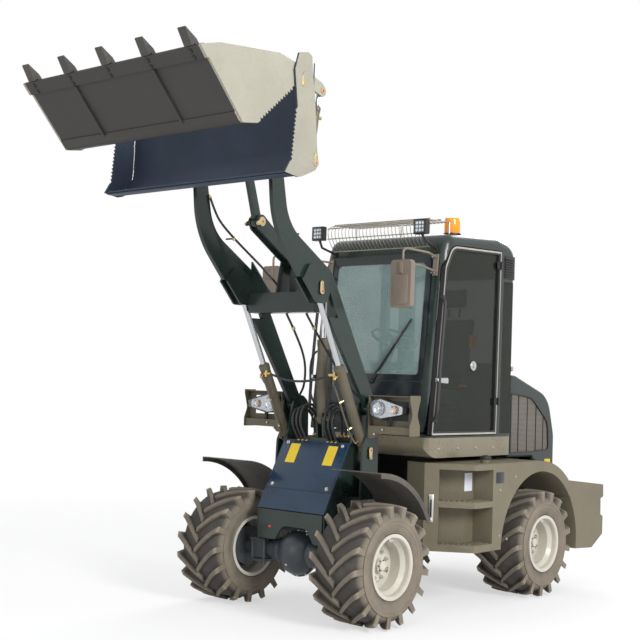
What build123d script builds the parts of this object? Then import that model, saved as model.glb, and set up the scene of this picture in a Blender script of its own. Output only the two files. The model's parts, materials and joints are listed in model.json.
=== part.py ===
"""Compact articulated wheel loader with a four-in-one bucket, as an assembly of separate pieces.

Everything is in millimetres. While it is modelled, X points forward from the articulation pin,
Y points to the machine's left and Z up from the ground. The finished pieces are moved along X
so that the origin lies under the middle of the whole machine.
"""

from build123d import *
import os
from math import asin, atan2, cos, degrees, hypot, radians, sin, tan

# ------------------------------------------------------------------ driving dimensions
# running gear
WHEELBASE = 1850.0
TRACK = 1206.0
TYRE_R = 393.5
TYRE_W = 390.0
RIM_R = 190.5            # bead seat radius of a 15 inch rim
RIM_FLANGE_R = 208.0
RIM_HALF_W = 184.0
RIM_T = 8.0
DISC_INSET = 128.0       # outer flange plane to the wheel disc
SPINDLE_R = 30.0
AXLE_BODY_R = 147.0      # differential housing
AXLE_TUBE_R = 52.0
HUB_DRUM_R = 135.0

# clearances
RUN_FIT = 0.05           # radial, pins in bores
SEAT_GAP = 0.3           # pieces that rest on each other
MOVE_GAP = 6.0           # moving pieces past fixed ones

# articulation and chassis
HINGE_PIN_R = 28.0
HINGE_Z = (505.0, 790.0)         # middle heights of the lower and upper hinge lugs
HINGE_LUG_T = 30.0
HINGE_EAR_T = 20.0
HINGE_LUG_R = 62.0
FRAME_PLATE_T = 16.0
FRAME_Y = 283.0                  # inner face of the front frame's side plates
REAR_FRAME_Y = 280.0             # outer face of the rear frame's side plates
STEER_LIMIT = 33.0
EMPTY_MASS = 2950.0

# boom, rest pose: pins in X and Z
BOOM_PIN = (640.0, 1380.0)
KNEE_PIN = (1226.0, 2120.0)
BUCKET_PIN = (1648.0, 2865.0)
LIFT_BASE = (697.0, 1098.0)
TILT_BASE = (734.0, 1286.0)
CRANK_PIN = (1080.0, 2340.0)
CRANK_ROD_PIN = (757.0, 2260.0)
LINK_PIN = (1447.0, 2561.0)
BUCKET_LINK_PIN = (1564.0, 2930.0)
ARM_Y = 337.0                    # middle plane of each boom arm
ARM_T = 30.0
CHEEK_T = 14.0
KNEE_HALF_W = 38.0               # half the width over the knee's cheeks
BUCKET_PIN_LOW_Z = 190.0         # height of the bucket pin with the boom right down
BUCKET_CURL = 40.0               # degrees of the bucket, rolled back and dumped from the rest pose
BUCKET_DUMP = 45.0
TILT_SLIDE_PER_RADIAN = -64.0      # travel of the tilt rod for a turn of the bucket

# bucket
BUCKET_HALF_W = 800.0
BUCKET_SIDE_T = 14.0
EAR_GAP = 2.0                    # side play between an arm's boss and the bucket's ear
EAR_T = 20.0
BUCKET_WALL_T = 10.0
CLAM_PIN = (1918.0, 3305.0)
CLAM_ROD_PIN = (1739.0, 3254.0)
CLAM_BASE = (1799.0, 2813.0)
CLAM_CLOSE = 38.0                # degrees from wide open to shut
CLAM_SIDE_T = 16.0
CLAM_SIDE_INSET = 35.0           # bucket's side to the inner face of the clam's side plate
CLAM_CYL_INSET = 50.0            # bucket's side to the middle plane of the clam cylinder
TOOTH_INSET = 110.0              # middle of the outermost tooth from the bucket's side
TOOTH_PITCH = (BUCKET_HALF_W - TOOTH_INSET) / 2
TOOTH_Y = [step * TOOTH_PITCH for step in (-2, -1, 0, 1, 2)]

# cab
CAB_HALF_W = 550.0
CAB_WALL = 45.0
CAB_BASE_Z = 1040.0
DOOR_GAP = 6.0
DOOR_TRIM = 28.0
GLASS_T = 5.0

# rear body
BODY_HALF_W = 785.0
DECK_Z = 1005.0
BODY_LOW_Z = 400.0
ARCH_R = 540.0
ARCH_MID = (-868.0, 390.0)        # middle of the rear wheel arch
HOOD_HALF_W = 500.0

FRONT_X = WHEELBASE / 2
REAR_X = -WHEELBASE / 2


# ------------------------------------------------------------------ helpers
def outline(rows):
    """Closed face from rows of (u, v) or (u, v, corner radius).

    A radius too large for the sides beside it is cut down.
    """
    count = len(rows)
    corners = []
    for i in range(count):
        here = Vector(rows[i][0], rows[i][1])
        before = Vector(*rows[i - 1][:2]) - here
        after = Vector(*rows[(i + 1) % count][:2]) - here
        radius = rows[i][2] if len(rows[i]) > 2 else 0
        half = radians(before.get_angle(after)) / 2
        if radius == 0 or half > radians(89.5):
            corners.append((here, here, here))
            continue
        reach = min(radius / tan(half), 0.48 * before.length, 0.48 * after.length)
        radius = reach * tan(half)
        bisector = (before.normalized() + after.normalized()).normalized()
        crest = here + bisector * (radius / sin(half) - radius)
        corners.append((here + before.normalized() * reach, crest, here + after.normalized() * reach))
    edges = []
    for i in range(count):
        start, crest, end = corners[i]
        if (end - start).length > 0.01:
            edges.append(ThreePointArc(start, crest, end))
        edges.append(Line(end, corners[(i + 1) % count][0]))
    return make_face(edges)


def slab_y(face, y0, y1):
    """Carry a face drawn in X and Z to a plate from y0 to y1."""
    plane = Plane(origin=(0, y0, 0), x_dir=(1, 0, 0), z_dir=(0, -1, 0))
    return extrude(plane * face, amount=-(y1 - y0))


def slab_z(face, z0, z1):
    """Carry a face drawn in X and Y to a plate from z0 to z1."""
    return extrude(Plane.XY.offset(z0) * face, amount=z1 - z0)


def slab_x(face, x0, x1):
    """Carry a face drawn in Y and Z to a plate from x0 to x1."""
    plane = Plane(origin=(x0, 0, 0), x_dir=(0, 1, 0), z_dir=(1, 0, 0))
    return extrude(plane * face, amount=x1 - x0)


def block(x0, x1, y0, y1, z0, z1):
    size = (x1 - x0, y1 - y0, z1 - z0)
    return Pos((x0 + x1) / 2, (y0 + y1) / 2, (z0 + z1) / 2) * Box(*size)


def pin_y(place, r, y0, y1):
    """Round bar along Y at place (x, z)."""
    plane = Plane(origin=(place[0], y0, place[1]), x_dir=(1, 0, 0), z_dir=(0, 1, 0))
    return plane * Cylinder(r, y1 - y0, align=(Align.CENTER, Align.CENTER, Align.MIN))


def pin_z(x, y, r, z0, z1):
    return Pos(x, y, z0) * Cylinder(r, z1 - z0, align=(Align.CENTER, Align.CENTER, Align.MIN))


def bar(start, end, r):
    """Round bar between two points."""
    a, b = Vector(*start), Vector(*end)
    plane = Plane(origin=a, z_dir=(b - a).normalized())
    return plane * Cylinder(r, (b - a).length, align=(Align.CENTER, Align.CENTER, Align.MIN))


def bent_tube(points, radius, r):
    """Round tube along a path with bends of one radius."""
    path = FilletPolyline(*points, radius=radius)
    start = path.edges()[0]
    return sweep(Plane(origin=path @ 0, z_dir=path % 0) * Circle(r), path=path)


def mirrored(shape):
    return mirror(shape, about=Plane.XZ)


def pair(shape):
    """The left piece with its right twin."""
    return Part() + [shape, mirrored(shape)]


def along_xz(shape, start, end, y=0.0):
    """Place a shape that was modelled along +X from start towards end, both (x, z)."""
    angle = degrees(atan2(end[1] - start[1], end[0] - start[0]))
    return Pos(start[0], y, start[1]) * Rot(0, -angle, 0) * shape


def span(start, end):
    return hypot(end[0] - start[0], end[1] - start[1])


# ------------------------------------------------------------------ hydraulic cylinders
GLAND_LIP = 3.0              # how far a gland stands out of its tube


def cylinder_barrel(length, r, rod_r, eye_r, eye_w, pin_r):
    """Barrel along +X from its base eye at the origin; the gland ends at length."""
    base = eye_r + 6
    tube = Pos(base, 0, 0) * Rot(0, 90, 0) * Cylinder(
        r, length - base, align=(Align.CENTER, Align.CENTER, Align.MIN)
    )
    gland_l = 0.9 * r
    gland = Pos(length - gland_l, 0, 0) * Rot(0, 90, 0) * Cylinder(
        r + GLAND_LIP, gland_l, align=(Align.CENTER, Align.CENTER, Align.MIN)
    )
    bore = Pos(base + 18, 0, 0) * Rot(0, 90, 0) * Cylinder(
        rod_r + SEAT_GAP, length, align=(Align.CENTER, Align.CENTER, Align.MIN)
    )
    eye = pin_y((0, 0), eye_r, -eye_w / 2, eye_w / 2)
    neck = block(0, base + 2, -eye_w / 2, eye_w / 2, -eye_r * 0.8, eye_r * 0.8)
    hole = pin_y((0, 0), pin_r + RUN_FIT, -eye_w, eye_w)
    return tube + gland + eye + neck - bore - hole


def cylinder_rod(length, r, eye_r, eye_w):
    """Rod along -X from its eye at the origin; the middle of the eye's pin is part of it."""
    shaft = Pos(-length, 0, 0) * Rot(0, 90, 0) * Cylinder(
        r, length, align=(Align.CENTER, Align.CENTER, Align.MIN)
    )
    eye = pin_y((0, 0), eye_r, -eye_w / 2, eye_w / 2)
    return shaft + eye


LIFT = dict(base=LIFT_BASE, rod=KNEE_PIN, y=ARM_Y, length=616.0, r=35.0, rod_r=19.0, eye_r=34.0,
            eye_w=26.0, pin_r=16.0, rod_length=650.0)
TILT = dict(base=TILT_BASE, rod=CRANK_ROD_PIN, y=0.0, length=545.0, r=42.0, rod_r=20.0, eye_r=38.0,
            eye_w=36.0, pin_r=18.0, rod_length=560.0)
CLAM = dict(base=CLAM_BASE, rod=CLAM_ROD_PIN, y=BUCKET_HALF_W - CLAM_CYL_INSET, length=345.0, r=22.0,
            rod_r=12.0, eye_r=20.0, eye_w=18.0, pin_r=10.0, rod_length=330.0)


def placed_barrel(spec):
    shape = cylinder_barrel(spec["length"], spec["r"], spec["rod_r"], spec["eye_r"], spec["eye_w"],
        spec["pin_r"])
    return along_xz(shape, spec["base"], spec["rod"], spec["y"])


def placed_rod(spec):
    shape = cylinder_rod(spec["rod_length"], spec["rod_r"], spec["eye_r"], spec["eye_w"])
    back = (2 * spec["rod"][0] - spec["base"][0], 2 * spec["rod"][1] - spec["base"][1])
    return along_xz(shape, spec["rod"], back, spec["y"])


# ------------------------------------------------------------------ wheels and axles
def tyre():
    """Agricultural tyre as a closed ring, axis along Y, middle at the origin."""
    half = TYRE_W / 2
    bead_y = RIM_HALF_W - RIM_T - SEAT_GAP
    seat_r = RIM_R + SEAT_GAP
    flank_r = (RIM_FLANGE_R + TYRE_R) / 2
    shoulder = (TYRE_R - 30, half - 4)
    left = [
        Line((seat_r, 0), (seat_r, bead_y)),
        Line((seat_r, bead_y), (RIM_FLANGE_R + 2, bead_y)),
        ThreePointArc((RIM_FLANGE_R + 2, bead_y), (flank_r, half), shoulder),
        ThreePointArc(shoulder, (TYRE_R - 8, half - 14), (TYRE_R - 3, half - 34)),
        ThreePointArc((TYRE_R - 3, half - 34), (TYRE_R - 0.7, half / 2), (TYRE_R, 0)),
        Line((TYRE_R, 0), (seat_r, 0)),
    ]
    ring = revolve(make_face(left), axis=Axis.Y)
    return ring + mirrored(ring)


def rim():
    """Deep-dished rim with its disc and hub, outer side towards +Y."""
    drop_r = RIM_R - 24
    w = RIM_HALF_W
    outer = [
        (RIM_FLANGE_R, w), (RIM_FLANGE_R, w - RIM_T), (RIM_R, w - RIM_T), (RIM_R, w - 44),
        (drop_r, w - 70), (drop_r, -40), (RIM_R, -70), (RIM_R, -w + RIM_T),
        (RIM_FLANGE_R, -w + RIM_T), (RIM_FLANGE_R, -w),
    ]
    inner = [
        (RIM_R - 4, -w), (RIM_R - RIM_T, -w + RIM_T), (RIM_R - RIM_T, -74), (drop_r - RIM_T, -44),
        (drop_r - RIM_T, w - 66), (RIM_R - RIM_T, w - 40), (RIM_R - RIM_T, w - RIM_T), (RIM_R - 4, w),
    ]
    barrel = revolve(make_face(Polyline(*outer, *inner, close=True)), axis=Axis.Y)
    disc_y = w - DISC_INSET
    edge_r = drop_r - RIM_T + 2
    disc_rows = [
        (SPINDLE_R + RUN_FIT, disc_y - 6), (70, disc_y - 6), (98, disc_y - 6), (112, disc_y - 24),
        (edge_r, disc_y - 24),
        (edge_r, disc_y - 14), (116, disc_y - 14), (100, disc_y + 4), (SPINDLE_R + RUN_FIT, disc_y + 4),
    ]
    disc = revolve(make_face(Polyline(*disc_rows, close=True)), axis=Axis.Y)
    hub = pin_y((0, 0), 62, -62, disc_y - 5) + pin_y((0, 0), 44, disc_y + 3, disc_y + 34)
    cap = pin_y((0, 0), 30, disc_y + 33, disc_y + 48)
    bore = pin_y((0, 0), SPINDLE_R + RUN_FIT, -70, disc_y + 20)
    return barrel + disc + hub + cap - bore


def wheel_places():
    """Rows of (name, x, side) for the four wheels; side is +1 on the left."""
    rows = []
    for end, x in (("front", FRONT_X), ("rear", REAR_X)):
        for hand, side in (("left", 1), ("right", -1)):
            rows.append((f"{end}_{hand}", x, side))
    return rows


def place_wheel(shape, x, side):
    if side < 0:
        shape = mirrored(shape)
    return Pos(x, side * TRACK / 2, TYRE_R) * shape


def axle(x, nose):
    """Drive axle; nose is +1 where the differential's domed cover faces forward."""
    mid = Pos(x, 0, TYRE_R)
    ring_r = AXLE_BODY_R + 10
    shape = [
        Polyline((150, 12), (150, 0), (-185, 0), (-185, 60), (-120, 72), (-34, AXLE_BODY_R - 6),
        (2, AXLE_BODY_R),
                 (2, ring_r), (14, ring_r), (14, AXLE_BODY_R), (26, AXLE_BODY_R)),
        ThreePointArc((26, AXLE_BODY_R), (112, 98), (150, 12)),
    ]
    housing = revolve(make_face(shape), axis=Axis.X)
    if nose < 0:
        housing = mirror(housing, about=Plane.YZ)
    drum_in, drum_out = 470.0, TRACK / 2 - 66.0
    stub_out = TRACK / 2 + RIM_HALF_W - DISC_INSET + 14
    half_rows = [
        (0, stub_out), (SPINDLE_R, stub_out), (SPINDLE_R, drum_out), (HUB_DRUM_R - 14, drum_out),
        (HUB_DRUM_R, drum_out - 20), (HUB_DRUM_R, drum_in + 6), (AXLE_TUBE_R, drum_in),
        (AXLE_TUBE_R, 270), (88, 150),
    ]
    full_rows = half_rows + [(r, -y) for r, y in reversed(half_rows)]
    beam = revolve(make_face(Polyline(*full_rows, close=True)), axis=Axis.Y)
    return mid * (housing + beam)


def front_axle():
    """Front axle with the pads and clamp plates that hold it under the side plates."""
    pad = block(FRONT_X - 70, FRONT_X + 70, FRAME_Y - 24, FRAME_Y + 92, TYRE_R - 62, TYRE_R + 62)
    top = block(FRONT_X - 82, FRONT_X + 82, FRAME_Y - 34, FRAME_Y + 102, TYRE_R + 56, TYRE_R + 72)
    low = block(FRONT_X - 82, FRONT_X + 82, FRAME_Y - 34, FRAME_Y + 102, TYRE_R - 84, TYRE_R - 68)
    bolts = [
        pin_z(FRONT_X + dx, FRAME_Y + dy, 10, TYRE_R - 98, TYRE_R + 60)
        for dx in (-68, 68) for dy in (-20, 88)
    ]
    clamp = pad + top + low + bolts
    return axle(FRONT_X, 1) + clamp + mirrored(clamp)


def rear_axle():
    pad = block(REAR_X - 70, REAR_X + 70, REAR_FRAME_Y - 60, REAR_FRAME_Y, TYRE_R - 62, TYRE_R + 76)
    return axle(REAR_X, -1) + pad + mirrored(pad)


# ------------------------------------------------------------------ front frame
COVER_TOP = (786.0, 1140.0)
COVER_FOOT = (1040.0, 674.0)
COVER_T = 8.0
POST_Y = 375.0               # inner face of the outer posts
NOSE_LOW_Z = 478.0
PAD_TOP_Z = TYRE_R + 72 + SEAT_GAP
COVER_SET = 9.5              # the side plates' front edges lie this far behind the cover's face


def front_side_plate():
    """One side plate of the front frame, from the axle pads up to the boom pin."""
    rows = [
        (455, 480, 40), (845, 480, 60), (FRONT_X - 85, PAD_TOP_Z), (COVER_FOOT[0] - 20, PAD_TOP_Z, 10),
        (COVER_FOOT[0] - COVER_SET, NOSE_LOW_Z + 60), (COVER_FOOT[0] - COVER_SET, COVER_FOOT[1]),
        (COVER_TOP[0] - COVER_SET, COVER_TOP[1]), (COVER_TOP[0] - 25, 1215, 30), (718, 1400, 60),
        (BOOM_PIN[0], BOOM_PIN[1] + 78, 70), (BOOM_PIN[0] - 78, BOOM_PIN[1] + 20, 60), (555, 1180, 200),
        (530, 900, 120), (455, 830, 30),
    ]
    return slab_y(outline(rows), FRAME_Y, FRAME_Y + FRAME_PLATE_T)


def outer_post():
    """Outer post: the outer ear of the boom pin and of the lift cylinder's base pin."""
    rows = [
        (606, 770, 12), (780, 770, 12), (768, LIFT_BASE[1] + 30, 60), (732, 1200, 40), (722, 1400, 40),
        (BOOM_PIN[0] + 30, BOOM_PIN[1] + 76, 40), (BOOM_PIN[0] - 60, BOOM_PIN[1] + 60, 40),
        (572, 1330, 60),
        (606, 1160, 60),
    ]
    return slab_y(outline(rows), POST_Y, POST_Y + FRAME_PLATE_T)


def front_frame():
    side = front_side_plate() + outer_post()
    side += block(606, 780, FRAME_Y, POST_Y + FRAME_PLATE_T, 770, 786)
    side += block(606, 618, FRAME_Y, POST_Y + FRAME_PLATE_T, 770, 1010)
    side += pin_y(BOOM_PIN, 22, FRAME_Y - 14, POST_Y + FRAME_PLATE_T + 10)
    side += pin_y(LIFT_BASE, LIFT["pin_r"], FRAME_Y - 10, POST_Y + FRAME_PLATE_T + 8)
    frame = side + mirrored(side)
    # cross members between the side plates: rear wall, tower box, axle bridge and nose web
    inside = FRAME_Y + 2
    frame += block(455, 475, -inside, inside, 480, 830)
    frame += block(560, 690, -inside, inside, 1130, 1160)
    frame += block(560, 576, -inside, inside, 880, 1160)
    frame += block(845, 1020, -inside, inside, TYRE_R + 190, TYRE_R + 206)
    nose = outline([
        (-inside, COVER_FOOT[1]), (inside, COVER_FOOT[1]), (inside, NOSE_LOW_Z), (215, NOSE_LOW_Z, 20),
        (150, 575, 60), (-60, 575, 60), (-125, NOSE_LOW_Z, 20), (-inside, NOSE_LOW_Z),
    ])
    frame += slab_x(nose, COVER_FOOT[0] - COVER_T - 2, COVER_FOOT[0])
    # lugs that hold the tilt cylinder's base pin
    lug_r = TILT["eye_r"] - 2
    lug_face = outline([
        (640, 1155), (752, 1155), (TILT_BASE[0] + lug_r - 4, TILT_BASE[1] - 10),
        (TILT_BASE[0], TILT_BASE[1] + 10),
        (TILT_BASE[0] - lug_r + 2, TILT_BASE[1] + 6),
    ])
    lug_face += Pos(*TILT_BASE) * Circle(lug_r)
    frame += block(560, 774, -90, 90, 1130, 1160)
    lug_in = TILT["eye_w"] / 2 + 1
    lug = slab_y(lug_face, lug_in, lug_in + 18)
    frame += lug + mirrored(lug) + pin_y(TILT_BASE, TILT["pin_r"], -lug_in - 26, lug_in + 26)
    # hinge box, reaching back to the articulation pin
    for z in HINGE_Z:
        lug_plan = outline([(0, -HINGE_LUG_R), (465, -150), (465, 150), (0, HINGE_LUG_R)])
        tongue = slab_z(lug_plan, z - HINGE_LUG_T / 2, z + HINGE_LUG_T / 2)
        tongue += pin_z(0, 0, HINGE_LUG_R, z - HINGE_LUG_T / 2, z + HINGE_LUG_T / 2)
        frame += tongue
    cheek = block(190, 465, 62, 76, HINGE_Z[0], HINGE_Z[1])
    frame += cheek + mirrored(cheek)
    frame -= pin_z(0, 0, HINGE_PIN_R + RUN_FIT, 400, 900)
    # steering ears
    for side_sign in (1, -1):
        x, y = STEER_ROD_PIN[0], side_sign * STEER_ROD_PIN[1]
        for z in (STEER_Z - 17 - 12, STEER_Z + 17):
            ear = block(x - 20, x + 20, min(y, side_sign * 70), max(y, side_sign * 70), z, z + 12)
            frame += ear + pin_z(x, y, 26, z, z + 12)
    return frame


def front_cover():
    """Sloping cover over the valve space, between the side plates."""
    dx, dz = COVER_TOP[0] - COVER_FOOT[0], COVER_TOP[1] - COVER_FOOT[1]
    length = hypot(dx, dz)
    ux, uz = dx / length, dz / length
    nx, nz = uz, -ux
    foot = (COVER_FOOT[0] + ux * 7, COVER_FOOT[1] + uz * 7)
    head = (COVER_TOP[0] - ux * 2, COVER_TOP[1] - uz * 2)
    head_back = (head[0] - nx * COVER_T, head[1] - nz * COVER_T)
    foot_back = (foot[0] - nx * COVER_T, foot[1] - nz * COVER_T)
    rows = [foot, head, head_back, foot_back]
    half = FRAME_Y + FRAME_PLATE_T - 4
    return slab_y(outline(rows), -half, half)


# front mudguards: arc of a large radius over the tyre
GUARD_R = 592.0
GUARD_MID = (FRONT_X + 160, TYRE_R + 2)
GUARD_T = 6.0
GUARD_Y = (POST_Y + FRAME_PLATE_T + SEAT_GAP, 800.0)
GUARD_ANGLES = (90.0, 153.0)


def arc_band(mid, r_in, r_out, start, end):
    """Face between two arcs about mid, angles in degrees from +X towards +Z."""
    def at(r, a):
        return (mid[0] + r * cos(radians(a)), mid[1] + r * sin(radians(a)))
    half = (start + end) / 2
    edges = [
        ThreePointArc(at(r_out, start), at(r_out, half), at(r_out, end)),
        Line(at(r_out, end), at(r_in, end)),
        ThreePointArc(at(r_in, end), at(r_in, half), at(r_in, start)),
        Line(at(r_in, start), at(r_out, start)),
    ]
    return make_face(edges)


def front_guards():
    start, end = GUARD_ANGLES
    sheet_face = arc_band(GUARD_MID, GUARD_R - GUARD_T, GUARD_R, start, end)
    lip_face = arc_band(GUARD_MID, GUARD_R - 34, GUARD_R, start, end)
    guard = slab_y(sheet_face, *GUARD_Y) + slab_y(lip_face, GUARD_Y[1] - GUARD_T, GUARD_Y[1])
    return pair(guard)


LAMP_ARM_Z = (1212.0, 1262.0)
LAMP_GUARD_Y = 742.0


def lamp_brackets():
    """Outrigger arm, top bar and end guard that carry each headlight."""
    root_y = POST_Y + FRAME_PLATE_T + SEAT_GAP
    arm = slab_x(outline([
        (root_y, LAMP_ARM_Z[0] - 34), (root_y + 40, LAMP_ARM_Z[0] - 34, 20),
        (root_y + 84, LAMP_ARM_Z[0], 20),
        (LAMP_GUARD_Y, LAMP_ARM_Z[0]), (LAMP_GUARD_Y, LAMP_ARM_Z[1]), (root_y, LAMP_ARM_Z[1]),
    ]), 668, 724)
    rear = slab_x(outline([
        (root_y, LAMP_ARM_Z[1] - 5), (LAMP_GUARD_Y, LAMP_ARM_Z[1] - 5), (LAMP_GUARD_Y, 1462),
        (root_y, 1462),
    ]), 672, 678)
    rear -= block(660, 690, 470, 690, 1300, 1430)
    top = block(672, 716, root_y, LAMP_GUARD_Y, 1458, 1464)
    foot = block(668, 724, root_y, LAMP_GUARD_Y, LAMP_ARM_Z[1] - 6, LAMP_ARM_Z[1])
    guard = slab_y(outline([
        (627, 1206), (737, 1206), (737, 1270, 20), (707, 1340, 60), (737, 1440, 20), (737, 1470),
        (627, 1470),
        (627, 1440, 20), (657, 1340, 60), (627, 1270, 20),
    ]), LAMP_GUARD_Y, LAMP_GUARD_Y + 5)
    root = block(668, 724, root_y, root_y + 6, LAMP_ARM_Z[0] - 34, 1464)
    return pair(arm + rear + top + foot + guard + root)


def headlights():
    """Teardrop lamp bodies, lens towards +X, standing on the bracket's foot."""
    lens = outline([
        (425, 1330, 30), (500, 1305, 50), (700, 1345, 18), (700, 1395, 18), (500, 1450, 50), (425, 1425, 30),
    ])
    body = slab_x(lens, 682, 758)
    stalk = block(695, 715, 545, 565, LAMP_ARM_Z[1] + SEAT_GAP, 1325)
    return pair(body + stalk)


# ------------------------------------------------------------------ boom
BEAM_X = (1090.0, 1195.0)
BEAM_Z = (1990.0, 2124.0)
GUSSET = (190.0, 215.0)          # width and height of the gussets on the beam


def turned(place, centre, angle):
    """A point in the side plane, turned about a centre by an angle in degrees."""
    x, z = place[0] - centre[0], place[1] - centre[1]
    c, s = cos(radians(angle)), sin(radians(angle))
    return centre[0] + c * x - s * z, centre[1] + s * x + c * z


def boom_low_angle():
    """Degrees that the boom turns from the raised pose to its lowest."""
    reach = span(BOOM_PIN, BUCKET_PIN)
    raised = atan2(BUCKET_PIN[1] - BOOM_PIN[1], BUCKET_PIN[0] - BOOM_PIN[0])
    return degrees(asin((BUCKET_PIN_LOW_Z - BOOM_PIN[1]) / reach) - raised)


def lift_barrel_nest():
    """Room that the lift barrel takes beside the arm when the boom is down.

    The barrel turns with the boom, one to one, so it stays parallel to its raised place.
    """
    base = turned(LIFT_BASE, BOOM_PIN, -boom_low_angle())
    half = LIFT["r"] + GLAND_LIP + MOVE_GAP
    end = LIFT["length"] + MOVE_GAP
    face = outline([(300, -half), (end, -half), (end, half), (300, half)])
    top = (base[0] + KNEE_PIN[0] - LIFT_BASE[0], base[1] + KNEE_PIN[1] - LIFT_BASE[1])
    return along_xz(slab_y(face, -half, half), base, top, ARM_Y)


BOSS_H = 16.0                    # how far a pin boss stands out of the arm
ARM_TIP_R = 56.0
ARM_HEEL_R = 56.0


def boom_arm_face():
    """Side shape of one arm: heel, straight lower leg, knee, curved upper leg, tip."""
    heel = BOOM_PIN
    rows = [
        # lower edge, from the tip down to the knee
        (BUCKET_PIN[0] + ARM_TIP_R - 4, BUCKET_PIN[1]), (1660, 2482, 600), (1262, 2043, 22),
        (1176, 2043, 30),
        # lower leg to the heel
        (heel[0] + 40, heel[1] - 26), (heel[0] - 42, heel[1] + 28),
        # upper edge, back to the tip
        (1092, 2251, 200), (1527, 2513, 300), (BUCKET_PIN[0] - ARM_TIP_R + 8, BUCKET_PIN[1] + 6),
    ]
    face = outline(rows)
    face += Pos(*BUCKET_PIN) * Circle(ARM_TIP_R)
    face += Pos(*heel) * Circle(ARM_HEEL_R)
    return face


def boom_arm():
    """One arm with its knee cheeks, heel bosses and the slot for the lift rod's eye."""
    y0, y1 = ARM_Y - ARM_T / 2, ARM_Y + ARM_T / 2
    arm = slab_y(boom_arm_face(), y0, y1)
    cheek = outline([
        (1262, 2043, 30), (1398, 2190), (1330, 2300, 40), (1180, 2240, 40), (1130, 2110, 60),
        (1176, 2043, 30),
    ])
    arm += slab_y(cheek, ARM_Y - KNEE_HALF_W, ARM_Y + KNEE_HALF_W)
    slot = outline([(1150, 2200, 50), (1430, 2200), (1430, 1960), (1020, 1960)])
    arm -= slab_y(slot, ARM_Y - KNEE_HALF_W + CHEEK_T, ARM_Y + KNEE_HALF_W - CHEEK_T)
    for low, high in ((y0 - BOSS_H, y0), (y1, y1 + BOSS_H)):
        arm += pin_y(BOOM_PIN, ARM_HEEL_R, low, high)
        arm += pin_y(BUCKET_PIN, ARM_TIP_R - 8, low, high)
    for side in (-1, 1):
        low, high = sorted((ARM_Y + side * KNEE_HALF_W, ARM_Y + side * (KNEE_HALF_W + 8)))
        arm += pin_y(KNEE_PIN, 24, low, high)
    arm -= pin_y(BOOM_PIN, 22 + RUN_FIT, 200, 500)
    arm -= pin_y(BUCKET_PIN, 22 + RUN_FIT, 200, 500)
    return arm


def crank_bracket():
    """Twin plates that carry the bell crank's pin, standing on the cross beam."""
    rows = [
        (BEAM_X[0] - 20, BEAM_Z[1] - 70, 10), (BEAM_X[1] - 10, BEAM_Z[1] - 4),
        (CRANK_PIN[0] + 62, CRANK_PIN[1] + 20, 40),
        (CRANK_PIN[0] + 10, CRANK_PIN[1] + 66, 50), (CRANK_PIN[0] - 58, CRANK_PIN[1] + 10, 50),
        (BEAM_X[0] - 46, 2180, 40),
    ]
    return slab_y(outline(rows), 46, 60)


def boom():
    arm = boom_arm()
    shape = arm + mirrored(arm)
    inner = ARM_Y - KNEE_HALF_W + 2
    beam = block(*BEAM_X, -inner, inner, *BEAM_Z)
    shape += beam
    foot_z, top_z = BEAM_Z[1] - 2, BEAM_Z[1] + GUSSET[1]
    gusset_rows = [(inner, foot_z), (inner, top_z), (inner - 6, top_z), (inner - GUSSET[0], foot_z)]
    gusset = slab_x(outline(gusset_rows), BEAM_X[1] - 30, BEAM_X[1] - 18)
    plates = gusset + crank_bracket()
    shape += plates + mirrored(plates)
    shape -= pin_y(CRANK_PIN, 20 + RUN_FIT, -70, 70)
    return shape - pair(lift_barrel_nest())


CRANK_PLATE = (25.0, 39.0)       # inner and outer face of each bell crank plate


def bell_crank():
    """Curved twin-plate lever between the tilt cylinder and the link."""
    fx, fz = LINK_PIN
    rx, rz = CRANK_ROD_PIN
    kx, kz = CRANK_PIN
    rows = [
        (fx + 20, fz - 50, 30), (fx + 52, fz + 10, 40), (fx - 6, fz + 56, 40),
        (kx + 130, kz + 110, 200), (kx + 10, kz + 74, 60), (rx + 30, rz + 46, 40),
        (rx - 48, rz + 20, 36), (rx - 8, rz - 48, 40),
        (kx - 20, kz - 66, 70), (kx + 120, kz + 6, 200),
    ]
    plate = slab_y(outline(rows), *CRANK_PLATE)
    shape = plate + mirrored(plate)
    shape += pin_y(CRANK_PIN, 40, -CRANK_PLATE[1] - 6, CRANK_PLATE[1] + 6)
    shape -= pin_y(CRANK_PIN, 20 + RUN_FIT, -70, 70)
    shape -= pin_y(LINK_PIN, 18 + RUN_FIT, -70, 70)
    return shape


def headed_pin(place, r, half, head_r):
    """Pin along Y with a round head outside each end."""
    pin = pin_y(place, r, -half, half)
    for sign in (1, -1):
        low, high = sorted((sign * half, sign * (half + 8)))
        pin += pin_y(place, head_r, low, high)
    return pin


def crank_pin():
    return headed_pin(CRANK_PIN, 20, 62, 32)


def link_pin():
    return headed_pin(LINK_PIN, 18, CRANK_PLATE[1] + 2, 30)


def tilt_link():
    """Flat link from the bell crank to the bucket; its top eye is left free of its pin."""
    lower, upper = LINK_PIN, BUCKET_LINK_PIN
    length = span(lower, upper)
    half_w = 30
    stem_rows = [(0, -half_w), (length, -half_w + 4), (length, half_w - 4), (0, half_w)]
    stem = slab_y(outline(stem_rows), -15, 15)
    shape = stem + pin_y((0, 0), 40, -18, 18) + pin_y((length, 0), 36, -18, 18)
    shape -= pin_y((0, 0), 18 + RUN_FIT, -40, 40)
    return along_xz(shape, lower, upper)


def bucket_pins():
    """The two hinge pins that the bucket turns on, one through each arm's tip."""
    half = ARM_T / 2 + BOSS_H + EAR_GAP + EAR_T
    pin = pin_y(BUCKET_PIN, 22, ARM_Y - half, ARM_Y + half)
    pin += pin_y(BUCKET_PIN, 32, ARM_Y + half, ARM_Y + half + 8)
    return pair(pin)


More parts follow.
